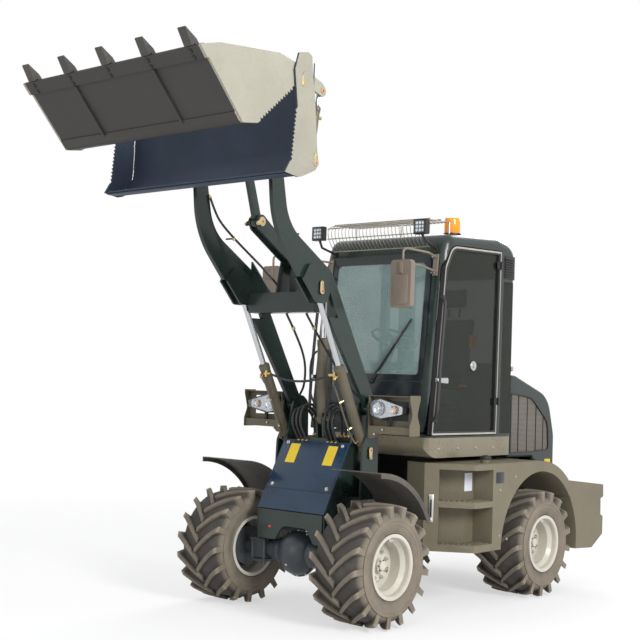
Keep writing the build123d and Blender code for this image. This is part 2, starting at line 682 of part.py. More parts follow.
# ------------------------------------------------------------------ bucket
BACK_X = 1822.0          # outer face of the back wall
WALL_TOP_Z = 3398.0
FLOOR_Z = 2716.0         # underside of the floor strip
LIP_X = 2050.0           # front edge of the floor strip


def bucket_wall_face():
    """Curved back and floor strip in side view, one plate thick."""
    t = BUCKET_WALL_T
    outer = [(BACK_X, WALL_TOP_Z), (BACK_X, 2850, 130), (1925, FLOOR_Z, 60), (LIP_X, FLOOR_Z + 8)]
    inner = [
        (LIP_X, FLOOR_Z + 8 + t), (1925 + 4, FLOOR_Z + t, 50), (BACK_X + t, 2850 + 4, 120),
        (BACK_X + t, WALL_TOP_Z),
    ]
    return outline(outer + inner)


def bucket_side_face():
    """Side plate with its toothed front edge."""
    rows = [
        (1973, 3429, 8), (1894, 3447, 8), (1862, 3429, 8), (1850, 3326, 30), (1829, 3219, 10),
        (1796, 2936, 60),
        (1781, 2801, 20), (1802, 2771, 20), (1920, 2717, 10), (1950, 2710), (2062, 2724), (2022, 2790),
    ]
    tooth_n = 12
    low, high = (2004, 2806), (1976, 3100)
    for i in range(tooth_n):
        f0, f1 = i / tooth_n, (i + 0.55) / tooth_n
        rows.append((low[0] + (high[0] - low[0]) * f0, low[1] + (high[1] - low[1]) * f0))
        rows.append((low[0] + (high[0] - low[0]) * f1 + 12, low[1] + (high[1] - low[1]) * f1))
    rows += [(1972, 3112), (2003, 3325)]
    return outline(rows)


def bucket():
    """Fixed rear half: back wall, side plates, stiffeners, hinge ears and clam cylinder ears."""
    y_in = BUCKET_HALF_W - BUCKET_SIDE_T
    wall = slab_y(bucket_wall_face(), -y_in - 1, y_in + 1)
    notch = block(BACK_X - 10, BACK_X + 40, BUCKET_HALF_W - 100, y_in, 3150, WALL_TOP_Z + 10)
    shape = wall - notch - mirrored(notch)
    side = slab_y(bucket_side_face(), y_in, BUCKET_HALF_W)
    side += pin_y(CLAM_PIN, 22, y_in - 42, BUCKET_HALF_W + 6)
    horn_rows = [(BACK_X + 2, 3190), (1960, 3245, 30), (1960, 3350, 40), (1880, 3370, 30), (BACK_X + 2, 3340)]
    side += slab_y(outline(horn_rows), y_in - 42, y_in - 30)
    side += block(BACK_X + 2, BACK_X + 30, y_in - 42, y_in + 1, 3160, 3180)
    shape += side + mirrored(side)
    # bucket ears beside each arm tip, and the twin ears of the link pin
    near = ARM_T / 2 + BOSS_H + EAR_GAP
    for y0, y1 in ((ARM_Y - near - EAR_T, ARM_Y - near), (ARM_Y + near, ARM_Y + near + EAR_T)):
        ear_rows = [
            (BACK_X + 4, 2760), (BACK_X + 4, 3080), (1740, 3060, 60), (BUCKET_PIN[0] - 60, 2900, 50),
            (BUCKET_PIN[0] - 52, 2830, 50), (BUCKET_PIN[0] + 30, 2800, 30), (1790, 2790, 20),
        ]
        ear = slab_y(outline(ear_rows), y0, y1)
        shape += ear + mirrored(ear)
    link_rows = [
        (BACK_X + 4, 2800), (BACK_X + 4, 3060), (1740, 3040, 60), (BUCKET_LINK_PIN[0] - 10, 2990, 44),
        (BUCKET_LINK_PIN[0] - 46, 2920, 44), (BUCKET_LINK_PIN[0] + 10, 2878, 40), (1700, 2900, 60),
    ]
    link_ear = slab_y(outline(link_rows), 20, 36) + pin_y(BUCKET_LINK_PIN, 24, 19, 46)
    shape += link_ear + mirrored(link_ear)
    # cross tube behind the wall ties the ears together
    shape += block(1770, BACK_X + 2, 100 - BUCKET_HALF_W, BUCKET_HALF_W - 100, 3080, 3120)
    # clam cylinder base: the side plate and an inner ear
    ear_y = BUCKET_HALF_W - CLAM_CYL_INSET - 38
    base_rows = [(1770, 2780, 24), (1840, 2780, 10), (1840, 2860, 10), (1780, 2850, 20)]
    base_ear = slab_y(outline(base_rows), ear_y, ear_y + 10)
    shape += base_ear + mirrored(base_ear)
    base_pin = pin_y(CLAM_BASE, CLAM["pin_r"], ear_y - 4, BUCKET_HALF_W + 5)
    shape += base_pin + mirrored(base_pin)
    shape -= pin_y(BUCKET_PIN, 22 + RUN_FIT, 200, 500)
    shape -= pin_y(BUCKET_PIN, 22 + RUN_FIT, -500, -200)
    return shape


CLAM_FLOOR = ((2394.0, 2947.0), (2721.0, 3307.0))     # rear edge and cutting edge of the clam's floor
CLAM_SIDE_Y = BUCKET_HALF_W - CLAM_SIDE_INSET


def clam():
    """Front jaw: two side plates that hang on the pins, the floor and its ribs."""
    y0, y1 = CLAM_SIDE_Y, CLAM_SIDE_Y + CLAM_SIDE_T
    (rx, rz), (tx, tz) = CLAM_FLOOR
    length = hypot(tx - rx, tz - rz)
    ux, uz = (tx - rx) / length, (tz - rz) / length
    nx, nz = -uz, ux
    rows = [
        (tx - 8, tz + 4), (2582, 3347, 30), (2117, 3396, 30), (1940, 3362, 40), (1840, 3330, 40),
        (1745, 3300, 30), (1702, 3262, 36), (1720, 3216, 30), (1800, 3236, 60), (1900, 3255, 40),
        (1975, 3262, 20), (1978, 3236),
    ]
    tooth_n = 14
    low, high = (1996, 3216), (2270, 2975)
    for i in range(tooth_n):
        f0, f1 = i / tooth_n, (i + 0.45) / tooth_n
        rows.append((low[0] + (high[0] - low[0]) * f0 + 9, low[1] + (high[1] - low[1]) * f0 + 9))
        rows.append((low[0] + (high[0] - low[0]) * f1 - 3, low[1] + (high[1] - low[1]) * f1 - 3))
    rows += [(2277, 2966), (2372, 2951), (rx - 4, rz + 6)]
    side = slab_y(outline(rows), y0, y1)
    side += pin_y(CLAM_PIN, 46, y0, y1) + pin_y(CLAM_ROD_PIN, 24, y0 - 1.0, y1)
    side -= pin_y(CLAM_PIN, 22 + RUN_FIT, y0 - 65, y1 + 39)
    shape = side + mirrored(side)
    # floor with its wear strips and ribs underneath
    floor_rows = [(rx, rz), (tx, tz), (tx + nx * 14, tz + nz * 14), (rx + nx * 12, rz + nz * 12)]
    shape += slab_y(outline(floor_rows), -y1, y1)
    heel_rows = [(2282, 2972), (2376, 2953), (rx, rz), (rx + nx * 12, rz + nz * 12), (2380, 2966),
        (2286, 2985)]
    shape += slab_y(outline(heel_rows), -y1, y1)
    edge = [
        (tx - ux * 76, tz - uz * 76), (tx + ux * 4, tz + uz * 4),
        (tx + ux * 4 - nx * 14, tz + uz * 4 - nz * 14), (tx - ux * 76 - nx * 14, tz - uz * 76 - nz * 14),
    ]
    shape += slab_y(outline(edge), -y1 - 4, y1 + 4)
    for y in (TOOTH_Y[1], TOOTH_Y[3]):
        rib = [
            (rx + ux * 60, rz + uz * 60), (tx - ux * 80, tz - uz * 80),
            (tx - ux * 80 - nx * 16, tz - uz * 80 - nz * 16), (rx + ux * 60 - nx * 16, rz + uz * 60 - nz * 16),
        ]
        shape += slab_y(outline(rib), y - 8, y + 8)
    return shape


def clam_teeth():
    """Bolt-on digging teeth along the cutting edge."""
    (rx, rz), (tx, tz) = CLAM_FLOOR
    length = hypot(tx - rx, tz - rz)
    ux, uz = (tx - rx) / length, (tz - rz) / length
    nx, nz = -uz, ux
    gap = 14 + SEAT_GAP

    def at(along, across):
        return (tx + ux * along + nx * across, tz + uz * along + nz * across)

    rows = [at(-62, gap), at(6, gap), at(8, -14), at(108, 4), at(112, 10), at(20, 40), at(-62, 40)]
    tooth = slab_y(outline(rows), -30, 30)
    return Part() + [Pos(0, y, 0) * tooth for y in TOOTH_Y]


# ------------------------------------------------------------------ steering cylinders
STEER_Z = 647.0
STEER_BASE_PIN = (-260.0, 220.0)
STEER_ROD_PIN = (260.0, 120.0)
STEER = dict(length=330.0, r=25.0, rod_r=13.0, eye_r=24.0, eye_w=30.0, pin_r=13.0, rod_length=330.0)


def steering_cylinder(side):
    """Barrel and rod of one steering cylinder, lying level."""
    spec = STEER
    barrel = cylinder_barrel(spec["length"], spec["r"], spec["rod_r"], spec["eye_r"], spec["eye_w"],
        spec["pin_r"])
    rod = cylinder_rod(spec["rod_length"], spec["rod_r"], spec["eye_r"], spec["eye_w"])
    run = (STEER_ROD_PIN[0] - STEER_BASE_PIN[0], STEER_ROD_PIN[1] - STEER_BASE_PIN[1])
    heading = side * degrees(atan2(run[1], run[0]))
    upright = Rot(90, 0, 0)
    place_b = Pos(STEER_BASE_PIN[0], side * STEER_BASE_PIN[1], STEER_Z) * Rot(0, 0, heading) * upright
    place_r = Pos(STEER_ROD_PIN[0], side * STEER_ROD_PIN[1], STEER_Z) * Rot(0, 0, heading) * upright
    return place_b * barrel, place_r * rod


# ------------------------------------------------------------------ rear frame
def rear_frame():
    """Rear chassis: side plates, cross members, hinge ears and the cab's mounts."""
    t = FRAME_PLATE_T
    rows = [
        (-285, 470, 20), (-285, 985), (-1380, 985), (-1380, 560, 60), (REAR_X - 150, 470, 40),
        (REAR_X + 150, 470, 40),
    ]
    side = slab_y(outline(rows), REAR_FRAME_Y - t, REAR_FRAME_Y)
    side -= block(REAR_X - 70.3, REAR_X + 70.3, REAR_FRAME_Y - t - 1, REAR_FRAME_Y + 1, 400,
        TYRE_R + 76.3)
    frame = side + mirrored(side)
    inside = REAR_FRAME_Y - t + 2
    frame += block(-301, -285, -inside, inside, 470, 985)
    frame += block(-1380, -1364, -inside, inside, 560, 985)
    for z in HINGE_Z:
        for low in (z - HINGE_LUG_T / 2 - 1 - HINGE_EAR_T, z + HINGE_LUG_T / 2 + 1):
            plan = outline([(-290, -150), (0, -58), (0, 58), (-290, 150)])
            ear = slab_z(plan, low, low + HINGE_EAR_T) + pin_z(0, 0, 58, low, low + HINGE_EAR_T)
            frame += ear
        frame += pin_z(0, 0, HINGE_PIN_R, z - HINGE_LUG_T / 2 - 30, z + HINGE_LUG_T / 2 + 30)
    for sign in (1, -1):
        x, y = STEER_BASE_PIN[0], sign * STEER_BASE_PIN[1]
        half = STEER["eye_w"] / 2 + 1
        for z in (STEER_Z - half - 12, STEER_Z + half):
            frame += block(-290, x, y - 26, y + 26, z, z + 12) + pin_z(x, y, 26, z, z + 12)
        frame += pin_z(x, y, STEER["pin_r"], STEER_Z - half - 16, STEER_Z + half + 16)
    # engine bearers
    for x in (-1320.0, -1140.0):
        frame += block(x, x + 50, -inside, inside, 530, 560 - SEAT_GAP)
    # cab mounts: two cross bars that carry the cab floor
    for x in (-310.0, -780.0):
        frame += block(x - 30, x + 30, -REAR_FRAME_Y, REAR_FRAME_Y, 984, CAB_BASE_Z - SEAT_GAP)
    return frame


def engine_block():
    return block(-1330, -860, -230, 230, 560, 1150)


HITCH_AT = (-1772.0, 0.0)
HITCH_BORE_R = 15.0
WEIGHT_FRONT = ((-1270.0, 848.0), (-1400.0, 318.0))
HITCH_LOW_Z = 500.0          # blind bottom of the bore
HITCH_HIGH_Z = 760.0         # spot face in the top of the weight


def hitch_bore_span():
    """Heights of the lower and upper end of the tow pin's bore."""
    return HITCH_LOW_Z, HITCH_HIGH_Z


def counterweight():
    """Cast weight across the tail, hollowed for the wheels and notched for the hitch."""
    rows = [
        (*WEIGHT_FRONT[0], 4), (-1835, 792, 12), (-1838, 697), (-1795, 683), (-1797, 556), (-1835, 541),
        (-1833, 402, 8),
        (-1660, 305, 8), WEIGHT_FRONT[1],
    ]
    weight = slab_y(outline(rows), -BODY_HALF_W, BODY_HALF_W)
    weight -= pin_y(ARCH_MID, ARCH_R, -BODY_HALF_W - 1, BODY_HALF_W + 1)
    weight -= block(-1380 - SEAT_GAP, -1100, -REAR_FRAME_Y - 10, REAR_FRAME_Y + 10, 200, 900)
    weight -= block(-1850, -1740, -70, 70, 565, 672)
    weight -= pin_z(*HITCH_AT, HITCH_BORE_R, HITCH_LOW_Z, 900)
    weight -= pin_z(*HITCH_AT, 34, HITCH_HIGH_Z, 900)
    return weight


# ------------------------------------------------------------------ step boxes and rear mudguards
BOX_KINK = (5.0, 775.0)
BOX_NOSE = (193.0, 483.0)
STEP_CORNER = (135.0, 566.0)
STEP_DEPTH = 150.0
STEP_REAR_X = -212.0
TREAD_Z = (449.0, 745.0, 963.0)
TREAD_T = 42.0
BOX_IN_Y = REAR_FRAME_Y + SEAT_GAP


def step_box():
    """Left tank box with two boarding recesses and the front half of the wheel arch."""
    plan = outline([
        (ARCH_MID[0] + 4, BODY_HALF_W), (BOX_KINK[0] - 12, BODY_HALF_W, 14), (BOX_KINK[0], BOX_KINK[1]),
        BOX_NOSE,
        (BOX_NOSE[0] - 20, BOX_IN_Y + 40, 20), (BOX_NOSE[0] - 70, BOX_IN_Y),
        (ARCH_MID[0] + 4, BOX_IN_Y),
    ])
    box = slab_z(plan, BODY_LOW_Z, DECK_Z)
    arch = pin_y(ARCH_MID, ARCH_R, 330, BODY_HALF_W + 1)
    box -= arch
    # recess plan: parallel to the two outer faces, one step depth in
    dx, dy = STEP_CORNER[0] - BOX_KINK[0], STEP_CORNER[1] - BOX_KINK[1]
    length = hypot(dx, dy)
    ux, uy = dx / length, dy / length
    inner_y = BODY_HALF_W - STEP_DEPTH - 14
    inner_corner = (-78.0, inner_y)
    front_in = (STEP_CORNER[0] + uy * STEP_DEPTH, STEP_CORNER[1] - ux * STEP_DEPTH)
    recess_plan = [
        (STEP_REAR_X, BODY_HALF_W + 20), (STEP_REAR_X, inner_y), inner_corner, front_in,
        (STEP_CORNER[0] - uy * 60, STEP_CORNER[1] + ux * 60), (BOX_KINK[0] + 60, BOX_KINK[1] + 60),
    ]
    for low, high in ((TREAD_Z[0], TREAD_Z[1] - TREAD_T), (TREAD_Z[1], TREAD_Z[2])):
        box -= slab_z(outline(recess_plan), low, high)
    cap = pin_z(-250, 690, 34, DECK_Z - 1, DECK_Z + 26)
    return box + cap


def rear_guard():
    """Rear half of the wheel arch, from the deck down to the counterweight."""
    band = arc_band(ARCH_MID, ARCH_R, DECK_Z - ARCH_MID[1], 89.66, 142.0)
    guard = slab_y(band, 330, BODY_HALF_W)
    return guard


def rear_guards():
    trimmed = rear_guard() - counterweight_envelope()
    return pair(trimmed)


def counterweight_envelope():
    (x0, z0), (x1, z1) = WEIGHT_FRONT
    rows = [(x0 + SEAT_GAP, 1000), (x0 + SEAT_GAP, z0), (x1 + SEAT_GAP, z1), (-1900, z1), (-1900, 1000)]
    return slab_y(outline(rows), -BODY_HALF_W - 5, BODY_HALF_W + 5)


# ------------------------------------------------------------------ cab
ROOF_Z = 2470.0
DOOR_HINGE = (-606.0, CAB_HALF_W + 12.0)
DOOR_OPEN_ANGLE = 85.0
CAB_SIDE = [
    # x, z, corner radius, clockwise from the lower front
    (238.0, CAB_BASE_Z, 0), (-830.0, CAB_BASE_Z, 0), (-836.0, 2610.0, 130), (-600.0, 2652.0, 60),
    (70.0, 2612.0, 120), (112.0, 2470.0, 60), (205.0, 1500.0, 100),
]
DOOR_OPEN = [
    (228.0, 1190.0, 14), (-598.0, 1190.0, 14), (-618.0, 2556.0, 14), (30.0, 2536.0, 110),
    (112.0, 2380.0, 110),
    (190.0, 1560.0, 60),
]
QUARTER_OPEN = [(-640.0, 1200.0, 12), (-800.0, 1200.0, 12), (-806.0, 2330.0, 20), (-655.0, 2330.0, 12)]
FRONT_PANE_Y = CAB_HALF_W - 110.0
REAR_PANE_Y = CAB_HALF_W - 130.0
FRONT_OPEN = [
    (-FRONT_PANE_Y, 1575.0, 40), (FRONT_PANE_Y, 1575.0, 40), (FRONT_PANE_Y, 2440.0, 60),
    (-FRONT_PANE_Y, 2440.0, 60),
]
REAR_OPEN = [
    (-REAR_PANE_Y, 1690.0, 40), (REAR_PANE_Y, 1690.0, 40), (REAR_PANE_Y, 2400.0, 60),
    (-REAR_PANE_Y, 2400.0, 60),
]


def inset(rows, d):
    """Rows pulled in towards their middle by d on every side, corners kept round."""
    cx = sum(row[0] for row in rows) / len(rows)
    cz = sum(row[1] for row in rows) / len(rows)
    moved = []
    for x, z, r in rows:
        moved.append((x - d if x > cx else x + d, z - d if z > cz else z + d, max(r - d, 4)))
    return moved


def cab_shell():
    """Hollow cab: walls and posts all round, open at the doors and windows."""
    outer = slab_y(outline(CAB_SIDE), -CAB_HALF_W, CAB_HALF_W)
    front_corners = outer.edges().filter_by(lambda e: abs((e @ 0).X - (e @ 1).X) < 110 and e.length > 900
                                            and (e @ 0).X > 100)
    outer = fillet(front_corners, 70)
    room = slab_y(outline([
        (238.0 - CAB_WALL, CAB_BASE_Z + 60, 10), (-830.0 + CAB_WALL, CAB_BASE_Z + 60, 10),
        (-836.0 + CAB_WALL, 2570.0, 90),
        (-600.0, 2608.0, 50), (40.0, 2570.0, 90), (62.0, 2470.0, 60), (158.0, 1500.0, 100),
    ]), -CAB_HALF_W + CAB_WALL, CAB_HALF_W - CAB_WALL)
    shell = outer - room
    door_hole = slab_y(outline(DOOR_OPEN), CAB_HALF_W - 250, CAB_HALF_W + 150)
    quarter_hole = slab_y(outline(QUARTER_OPEN), CAB_HALF_W - 250, CAB_HALF_W + 150)
    for hole in (door_hole, quarter_hole):
        shell -= hole
        shell -= mirrored(hole)
    shell -= slab_x(outline(FRONT_OPEN), 60, 400)
    shell -= slab_x(outline(REAR_OPEN), -900, -700)
    return shell


def split_roof(shell):
    """Part the shell where the roof pressing meets the posts."""
    side = CAB_HALF_W + 150
    above = block(-1000, 600, -side, side, ROOF_Z, 2800)
    roof = shell & above
    body = shell - block(-1000, 600, -side, side, ROOF_Z - 0.01, 2800)
    return body, roof


def door(side):
    """Trim frame of a door with its glass, closed; hinged at its rear edge."""
    y1 = CAB_HALF_W + 2
    y0 = y1 - CAB_WALL + 8
    frame_face = outline(inset(DOOR_OPEN, DOOR_GAP)) - outline(inset(DOOR_OPEN, DOOR_GAP + DOOR_TRIM))
    frame = slab_y(frame_face, y0, y1)
    handle = block(120, 200, y1 - 1, y1 + 34, 1566, 1590)
    for z in (1437.0, 2445.0):
        frame += pin_z(*DOOR_HINGE, 8, z - 30, z + 30)
        frame += block(DOOR_HINGE[0], DOOR_HINGE[0] + 50, y1 - 1, y1 + 4, z - 26, z + 26)
    glass = slab_y(outline(inset(DOOR_OPEN, DOOR_GAP + DOOR_TRIM + 0.2)), y1 - 20, y1 - 20 + GLASS_T)
    frame += handle
    if side < 0:
        return mirrored(frame), mirrored(glass)
    return frame, glass


def windshield():
    """Front pane, leaning with the front posts."""
    lean = slab_x(outline(inset(FRONT_OPEN, SEAT_GAP)), -60, 400)
    face = outline([(120.0 - 6, 2470.0), (205.0 - 6, 1500.0), (205.0, 1500.0), (120.0, 2470.0)])
    sheet = slab_y(face, 50 - CAB_HALF_W, CAB_HALF_W - 50)
    return sheet & lean


def rear_and_quarter_glass():
    rear = slab_x(outline(inset(REAR_OPEN, SEAT_GAP)), -824, -819)
    quarter = slab_y(outline(inset(QUARTER_OPEN, SEAT_GAP)), CAB_HALF_W - 16, CAB_HALF_W - 11)
    return Part() + [rear, quarter, mirrored(quarter)]


def seat():
    """Suspension seat with a high back and a headrest."""
    cushion = slab_y(outline([(-160, 1420, 40), (-620, 1400, 30), (-640, 1500, 40), (-180, 1530, 50)]),
        -190, 310)
    back = slab_y(outline([(-560, 1480, 30), (-650, 1480, 30), (-770, 2080, 40), (-680, 2100, 40)]),
        -170, 290)
    head = slab_y(outline([(-690, 2130, 30), (-770, 2120, 30), (-785, 2310, 40), (-715, 2320, 40)]),
        -70, 190)
    stalks = [bar((-725, y, 2070), (-735, y, 2150), 9) for y in (10, 110)]
    base = slab_y(outline([(-220, 1130), (-580, 1130), (-540, 1410), (-250, 1425)]), -120, 240)
    foot = block(-620, -180, -160, 280, CAB_BASE_Z + 60 + SEAT_GAP, 1135)
    return cushion + back + head + base + foot + stalks


def cab_controls():
    """Console, steering column and wheel, lever stand beside the seat."""
    floor_z = CAB_BASE_Z + 60 + SEAT_GAP
    console = slab_y(outline([(150, floor_z), (60, floor_z), (20, 1500, 20), (60, 1640, 30),
        (135, 1600, 30)]), -150, 150)
    column = bar((60, 0, 1600), (-48, 0, 1870), 24)
    lean = Pos(-50, 0, 1875) * Rot(0, -22, 0)
    wheel = lean * Torus(165, 12)
    spokes = lean * (Box(330, 26, 10) + Box(26, 330, 10) + Cylinder(34, 30))
    stand = block(-420, -60, -420, -260, floor_z, 1420)
    tie = block(-100, 100, -400, -140, floor_z, floor_z + 12)
    lever = bar((-160, -340, 1415), (-120, -330, 1600), 9) + Pos(-120, -330, 1610) * Sphere(24)
    return console + column + wheel + spokes + stand + tie + lever


MIRROR = (650.0, CAB_HALF_W + 38.0, 2210.0)


def post_front(z):
    """X of the cab's front face at height z."""
    i = 4 if z > ROOF_Z else 5
    (x0, z0, _), (x1, z1, _) = CAB_SIDE[i], CAB_SIDE[i + 1]
    return x0 + (x1 - x0) * (z - z0) / (z1 - z0)


def front_foot(z0, z1, y0, y1):
    """Leaning bolt-on plate against the front face of the cab."""
    low, high = post_front(z0) + SEAT_GAP, post_front(z1) + SEAT_GAP
    return slab_y(outline([(low, z0), (low + 14, z0), (high + 14, z1), (high, z1)]), y0, y1)


def mirrors():
    """Rear-view mirrors, each on a bent pair of tubes from the front post."""
    x, y, z = MIRROR
    head = block(x - 22, x + 22, y - 84, y + 84, z - 160, z + 158)
    head = fillet(head.edges().filter_by(Axis.X), 26)
    root = CAB_HALF_W - 66
    upper = bent_tube([(122, root, 2440), (330, y - 28, 2450), (600, y, 2450), (x, y, 2440), (x, y, 2360)],
        30, 8)
    lower = bent_tube([(132, root, 2340), (420, y - 13, 2350), (x - 30, y, 2355), (x - 2, y, 2356)], 20, 8)
    foot = front_foot(2310, 2462, root - 22, root + 16)
    return pair(head + upper + lower + foot)


BEACON_Z = 2632.9


def roof_lamps():
    """Two square work lamps on their brackets and the beacon."""
    y = CAB_HALF_W - 82
    lamp = block(268, 310, y - 50, y + 50, 2586, 2690)
    arm = bar((285, y, 2590), (240, y + 12, 2540), 9) + bar((240, y + 12, 2540), (112, y - 6, 2505), 9)
    foot = front_foot(2480, 2536, y - 24, y + 8)
    post = pin_z(-210, 380, 62, BEACON_Z, BEACON_Z + 18) + pin_z(-210, 380, 52, BEACON_Z + 17,
        BEACON_Z + 130)
    return Part() + [lamp + arm + foot, mirrored(lamp + arm + foot), post]


# ------------------------------------------------------------------ hood
HOOD_HINGE = (-846.0, 1630.0)
HOOD_OPEN_ANGLE = 60.0
HOOD_HINGE_R = 9.0
HOOD_HINGE_PIN_R = 5.0
HOOD_HINGE_Y = (300.0, 340.0)        # inner and outer end of each knuckle
PIPE_PLACE = (430.0, 1690.0)         # y and z of the tail pipe's axis
PIPE_X = (-833.0, -950.0, -975.0)    # seat on the cab, step, mouth
PIPE_R = (22.0, 14.0)
HOOD_SIDE = [
    (-856.0, 1012.0, 8), (-856.0, 1640.0, 40), (-930.0, 1640.0, 60), (-1440.0, 1480.0, 230),
    (-1535.0, 1180.0, 200), (-1535.0, 860.0, 8), (-1290.0, 860.0, 8), (-1200.0, 1012.0, 8),
]
GRILLE = [
    (-880.0, 1050.0, 12), (-1180.0, 1050.0, 12), (-1450.0, 1060.0, 40), (-1430.0, 1280.0, 120),
    (-1180.0, 1470.0, 200), (-880.0, 1500.0, 30),
]


def hood():
    """Quarter-round engine hood, open underneath, with side openings for the grilles."""
    t = 24
    outer = slab_y(outline(HOOD_SIDE), -HOOD_HALF_W, HOOD_HALF_W)
    crown = [e for e in outer.edges() if abs(e.center().Y) > HOOD_HALF_W - 1 and e.center().Z > 1100]
    outer = fillet(crown, 20)
    room = slab_y(outline([(-700, 700), (-700, 1610), (-936, 1610, 50), (-1418, 1466, 215),
        (-1535 + t, 1184, 190), (-1535 + t, 700)]),
                  -HOOD_HALF_W + t, HOOD_HALF_W - t)
    shell = outer - room
    hole = slab_y(outline(GRILLE), 400, 600)
    shell -= hole + mirrored(hole)
    # notch that lets the raised hood pass round the tail pipe
    reach = span(HOOD_HINGE, (PIPE_X[2], PIPE_PLACE[1] + PIPE_R[0])) + MOVE_GAP
    half = PIPE_R[0] + 2 * MOVE_GAP
    shell -= block(HOOD_HINGE[0] - reach, HOOD_HINGE[0], PIPE_PLACE[0] - half, PIPE_PLACE[0] + half,
        1500, 1700)
    knuckle = pin_y(HOOD_HINGE, HOOD_HINGE_R, *HOOD_HINGE_Y)
    knuckle += block(HOOD_HINGE[0] - 50, HOOD_HINGE[0], *HOOD_HINGE_Y, HOOD_HINGE[1] - 8, HOOD_HINGE[1])
    knuckle -= pin_y(HOOD_HINGE, HOOD_HINGE_PIN_R + RUN_FIT, 200, 400)
    return shell + pair(knuckle)


def hood_hinge_ears():
    """Ears on the cab's rear wall with the pins that the hood's knuckles turn on."""
    ears = pin_y(HOOD_HINGE, HOOD_HINGE_PIN_R, HOOD_HINGE_Y[0] - 10, HOOD_HINGE_Y[1] + 10)
    for low, high in ((HOOD_HINGE_Y[0] - 10, HOOD_HINGE_Y[0] - 2),
        (HOOD_HINGE_Y[1] + 2, HOOD_HINGE_Y[1] + 10)):
        ears += pin_y(HOOD_HINGE, HOOD_HINGE_R, low, high)
        ears += block(HOOD_HINGE[0], -815, low, high, HOOD_HINGE[1] - HOOD_HINGE_R,
            HOOD_HINGE[1] + HOOD_HINGE_R)
    return pair(ears)


def hood_grilles():
    face = outline(inset_to_point(GRILLE, SEAT_GAP))
    panel = slab_y(face, HOOD_HALF_W - 20, HOOD_HALF_W - 8)
    return pair(panel)


def inset_to_point(rows, d):
    """Rows moved towards their middle by d along the line to it."""
    cx = sum(row[0] for row in rows) / len(rows)
    cz = sum(row[1] for row in rows) / len(rows)
    moved = []
    for x, z, r in rows:
        length = hypot(x - cx, z - cz)
        moved.append((x - d * (x - cx) / length, z - d * (z - cz) / length, r))
    return moved


def exhaust_stub():
    """Short tail pipe behind the cab, stepped down at its mouth."""
    y, z = PIPE_PLACE
    return bar((PIPE_X[0], y, z), (PIPE_X[1], y, z), PIPE_R[0]) + bar((PIPE_X[1], y, z),
        (PIPE_X[2], y, z), PIPE_R[1])


# ------------------------------------------------------------------ assembly
def all_pieces():
    """Node name to solid, in the modelling frame."""
    pieces = {}
    for name, x, side in wheel_places():
        pieces[f"{name}_tyre"] = place_wheel(tyre(), x, side)
        pieces[f"{name}_rim"] = place_wheel(rim(), x, side)
    pieces["front_axle"] = front_axle()
    pieces["rear_axle"] = rear_axle()
    pieces["front_frame"] = front_frame()
    pieces["front_cover"] = front_cover()
    pieces["front_mudguards"] = front_guards()
    pieces["headlight_brackets"] = lamp_brackets()
    pieces["headlights"] = headlights()
    pieces["boom"] = boom()
    pieces["bell_crank"] = bell_crank()
    pieces["bell_crank_pin"] = crank_pin()
    pieces["link_pin"] = link_pin()
    pieces["tilt_link"] = tilt_link()
    pieces["bucket_hinge_pins"] = bucket_pins()
    pieces["lift_cylinder_barrels"] = pair(placed_barrel(LIFT))
    pieces["lift_cylinder_rods"] = pair(placed_rod(LIFT))
    pieces["tilt_cylinder_barrel"] = placed_barrel(TILT)
    pieces["tilt_cylinder_rod"] = placed_rod(TILT)
    pieces["bucket"] = bucket()
    pieces["clam_jaw"] = clam()
    pieces["clam_teeth"] = clam_teeth()
    pieces["clam_cylinder_barrels"] = pair(placed_barrel(CLAM))
    pieces["clam_cylinder_rods"] = pair(placed_rod(CLAM))
    for hand, side in (("left", 1), ("right", -1)):
        barrel, rod = steering_cylinder(side)
        pieces[f"steering_barrel_{hand}"] = barrel
        pieces[f"steering_rod_{hand}"] = rod
        frame, glass = door(side)
        pieces[f"door_{hand}"] = frame
        pieces[f"door_{hand}_glass"] = glass
        box = step_box()
        pieces[f"step_box_{hand}"] = box if side > 0 else mirrored(box)
    pieces["rear_frame"] = rear_frame()
    pieces["engine"] = engine_block()
    pieces["counterweight"] = counterweight()
    pieces["rear_mudguards"] = rear_guards()
    body, roof = split_roof(cab_shell())
    pieces["cab_body"] = body + hood_hinge_ears()
    pieces["cab_roof"] = roof
    pieces["windshield"] = windshield()
    pieces["rear_cab_glass"] = rear_and_quarter_glass()
    pieces["seat"] = seat()
    pieces["cab_controls"] = cab_controls()
    pieces["mirrors"] = mirrors()
    pieces["roof_lamps"] = roof_lamps()
    pieces["hood"] = hood()
    pieces["hood_grilles"] = hood_grilles()
    pieces["exhaust_stub"] = exhaust_stub()
    return pieces


TAIL_X = -1838.0


def main():
    os.makedirs("parts", exist_ok=True)
    pieces = all_pieces()
    boxes = [shape.bounding_box() for shape in pieces.values()]
    low, high = min(b.min.X for b in boxes), max(b.max.X for b in boxes)
    print(f"X from {low:.2f} to {high:.2f}, middle {(low + high) / 2:.3f}")
    shift = Pos(-(low + high) / 2, 0, 0)
    for name, shape in pieces.items():
        export_step(shift * shape, f"parts/{name}.step")
    print(len(pieces), "nodes")


if __name__ == "__main__":
    main()
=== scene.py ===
"""Looks for a compact articulated wheel loader: paint, tyres, glass, hoses, lamps and fittings."""

import json
import math

import bmesh
import bpy
from bpy.props import FloatProperty, FloatVectorProperty, IntProperty, PointerProperty
from bpy.types import Operator, Panel, PropertyGroup
from mathutils import Matrix, Vector


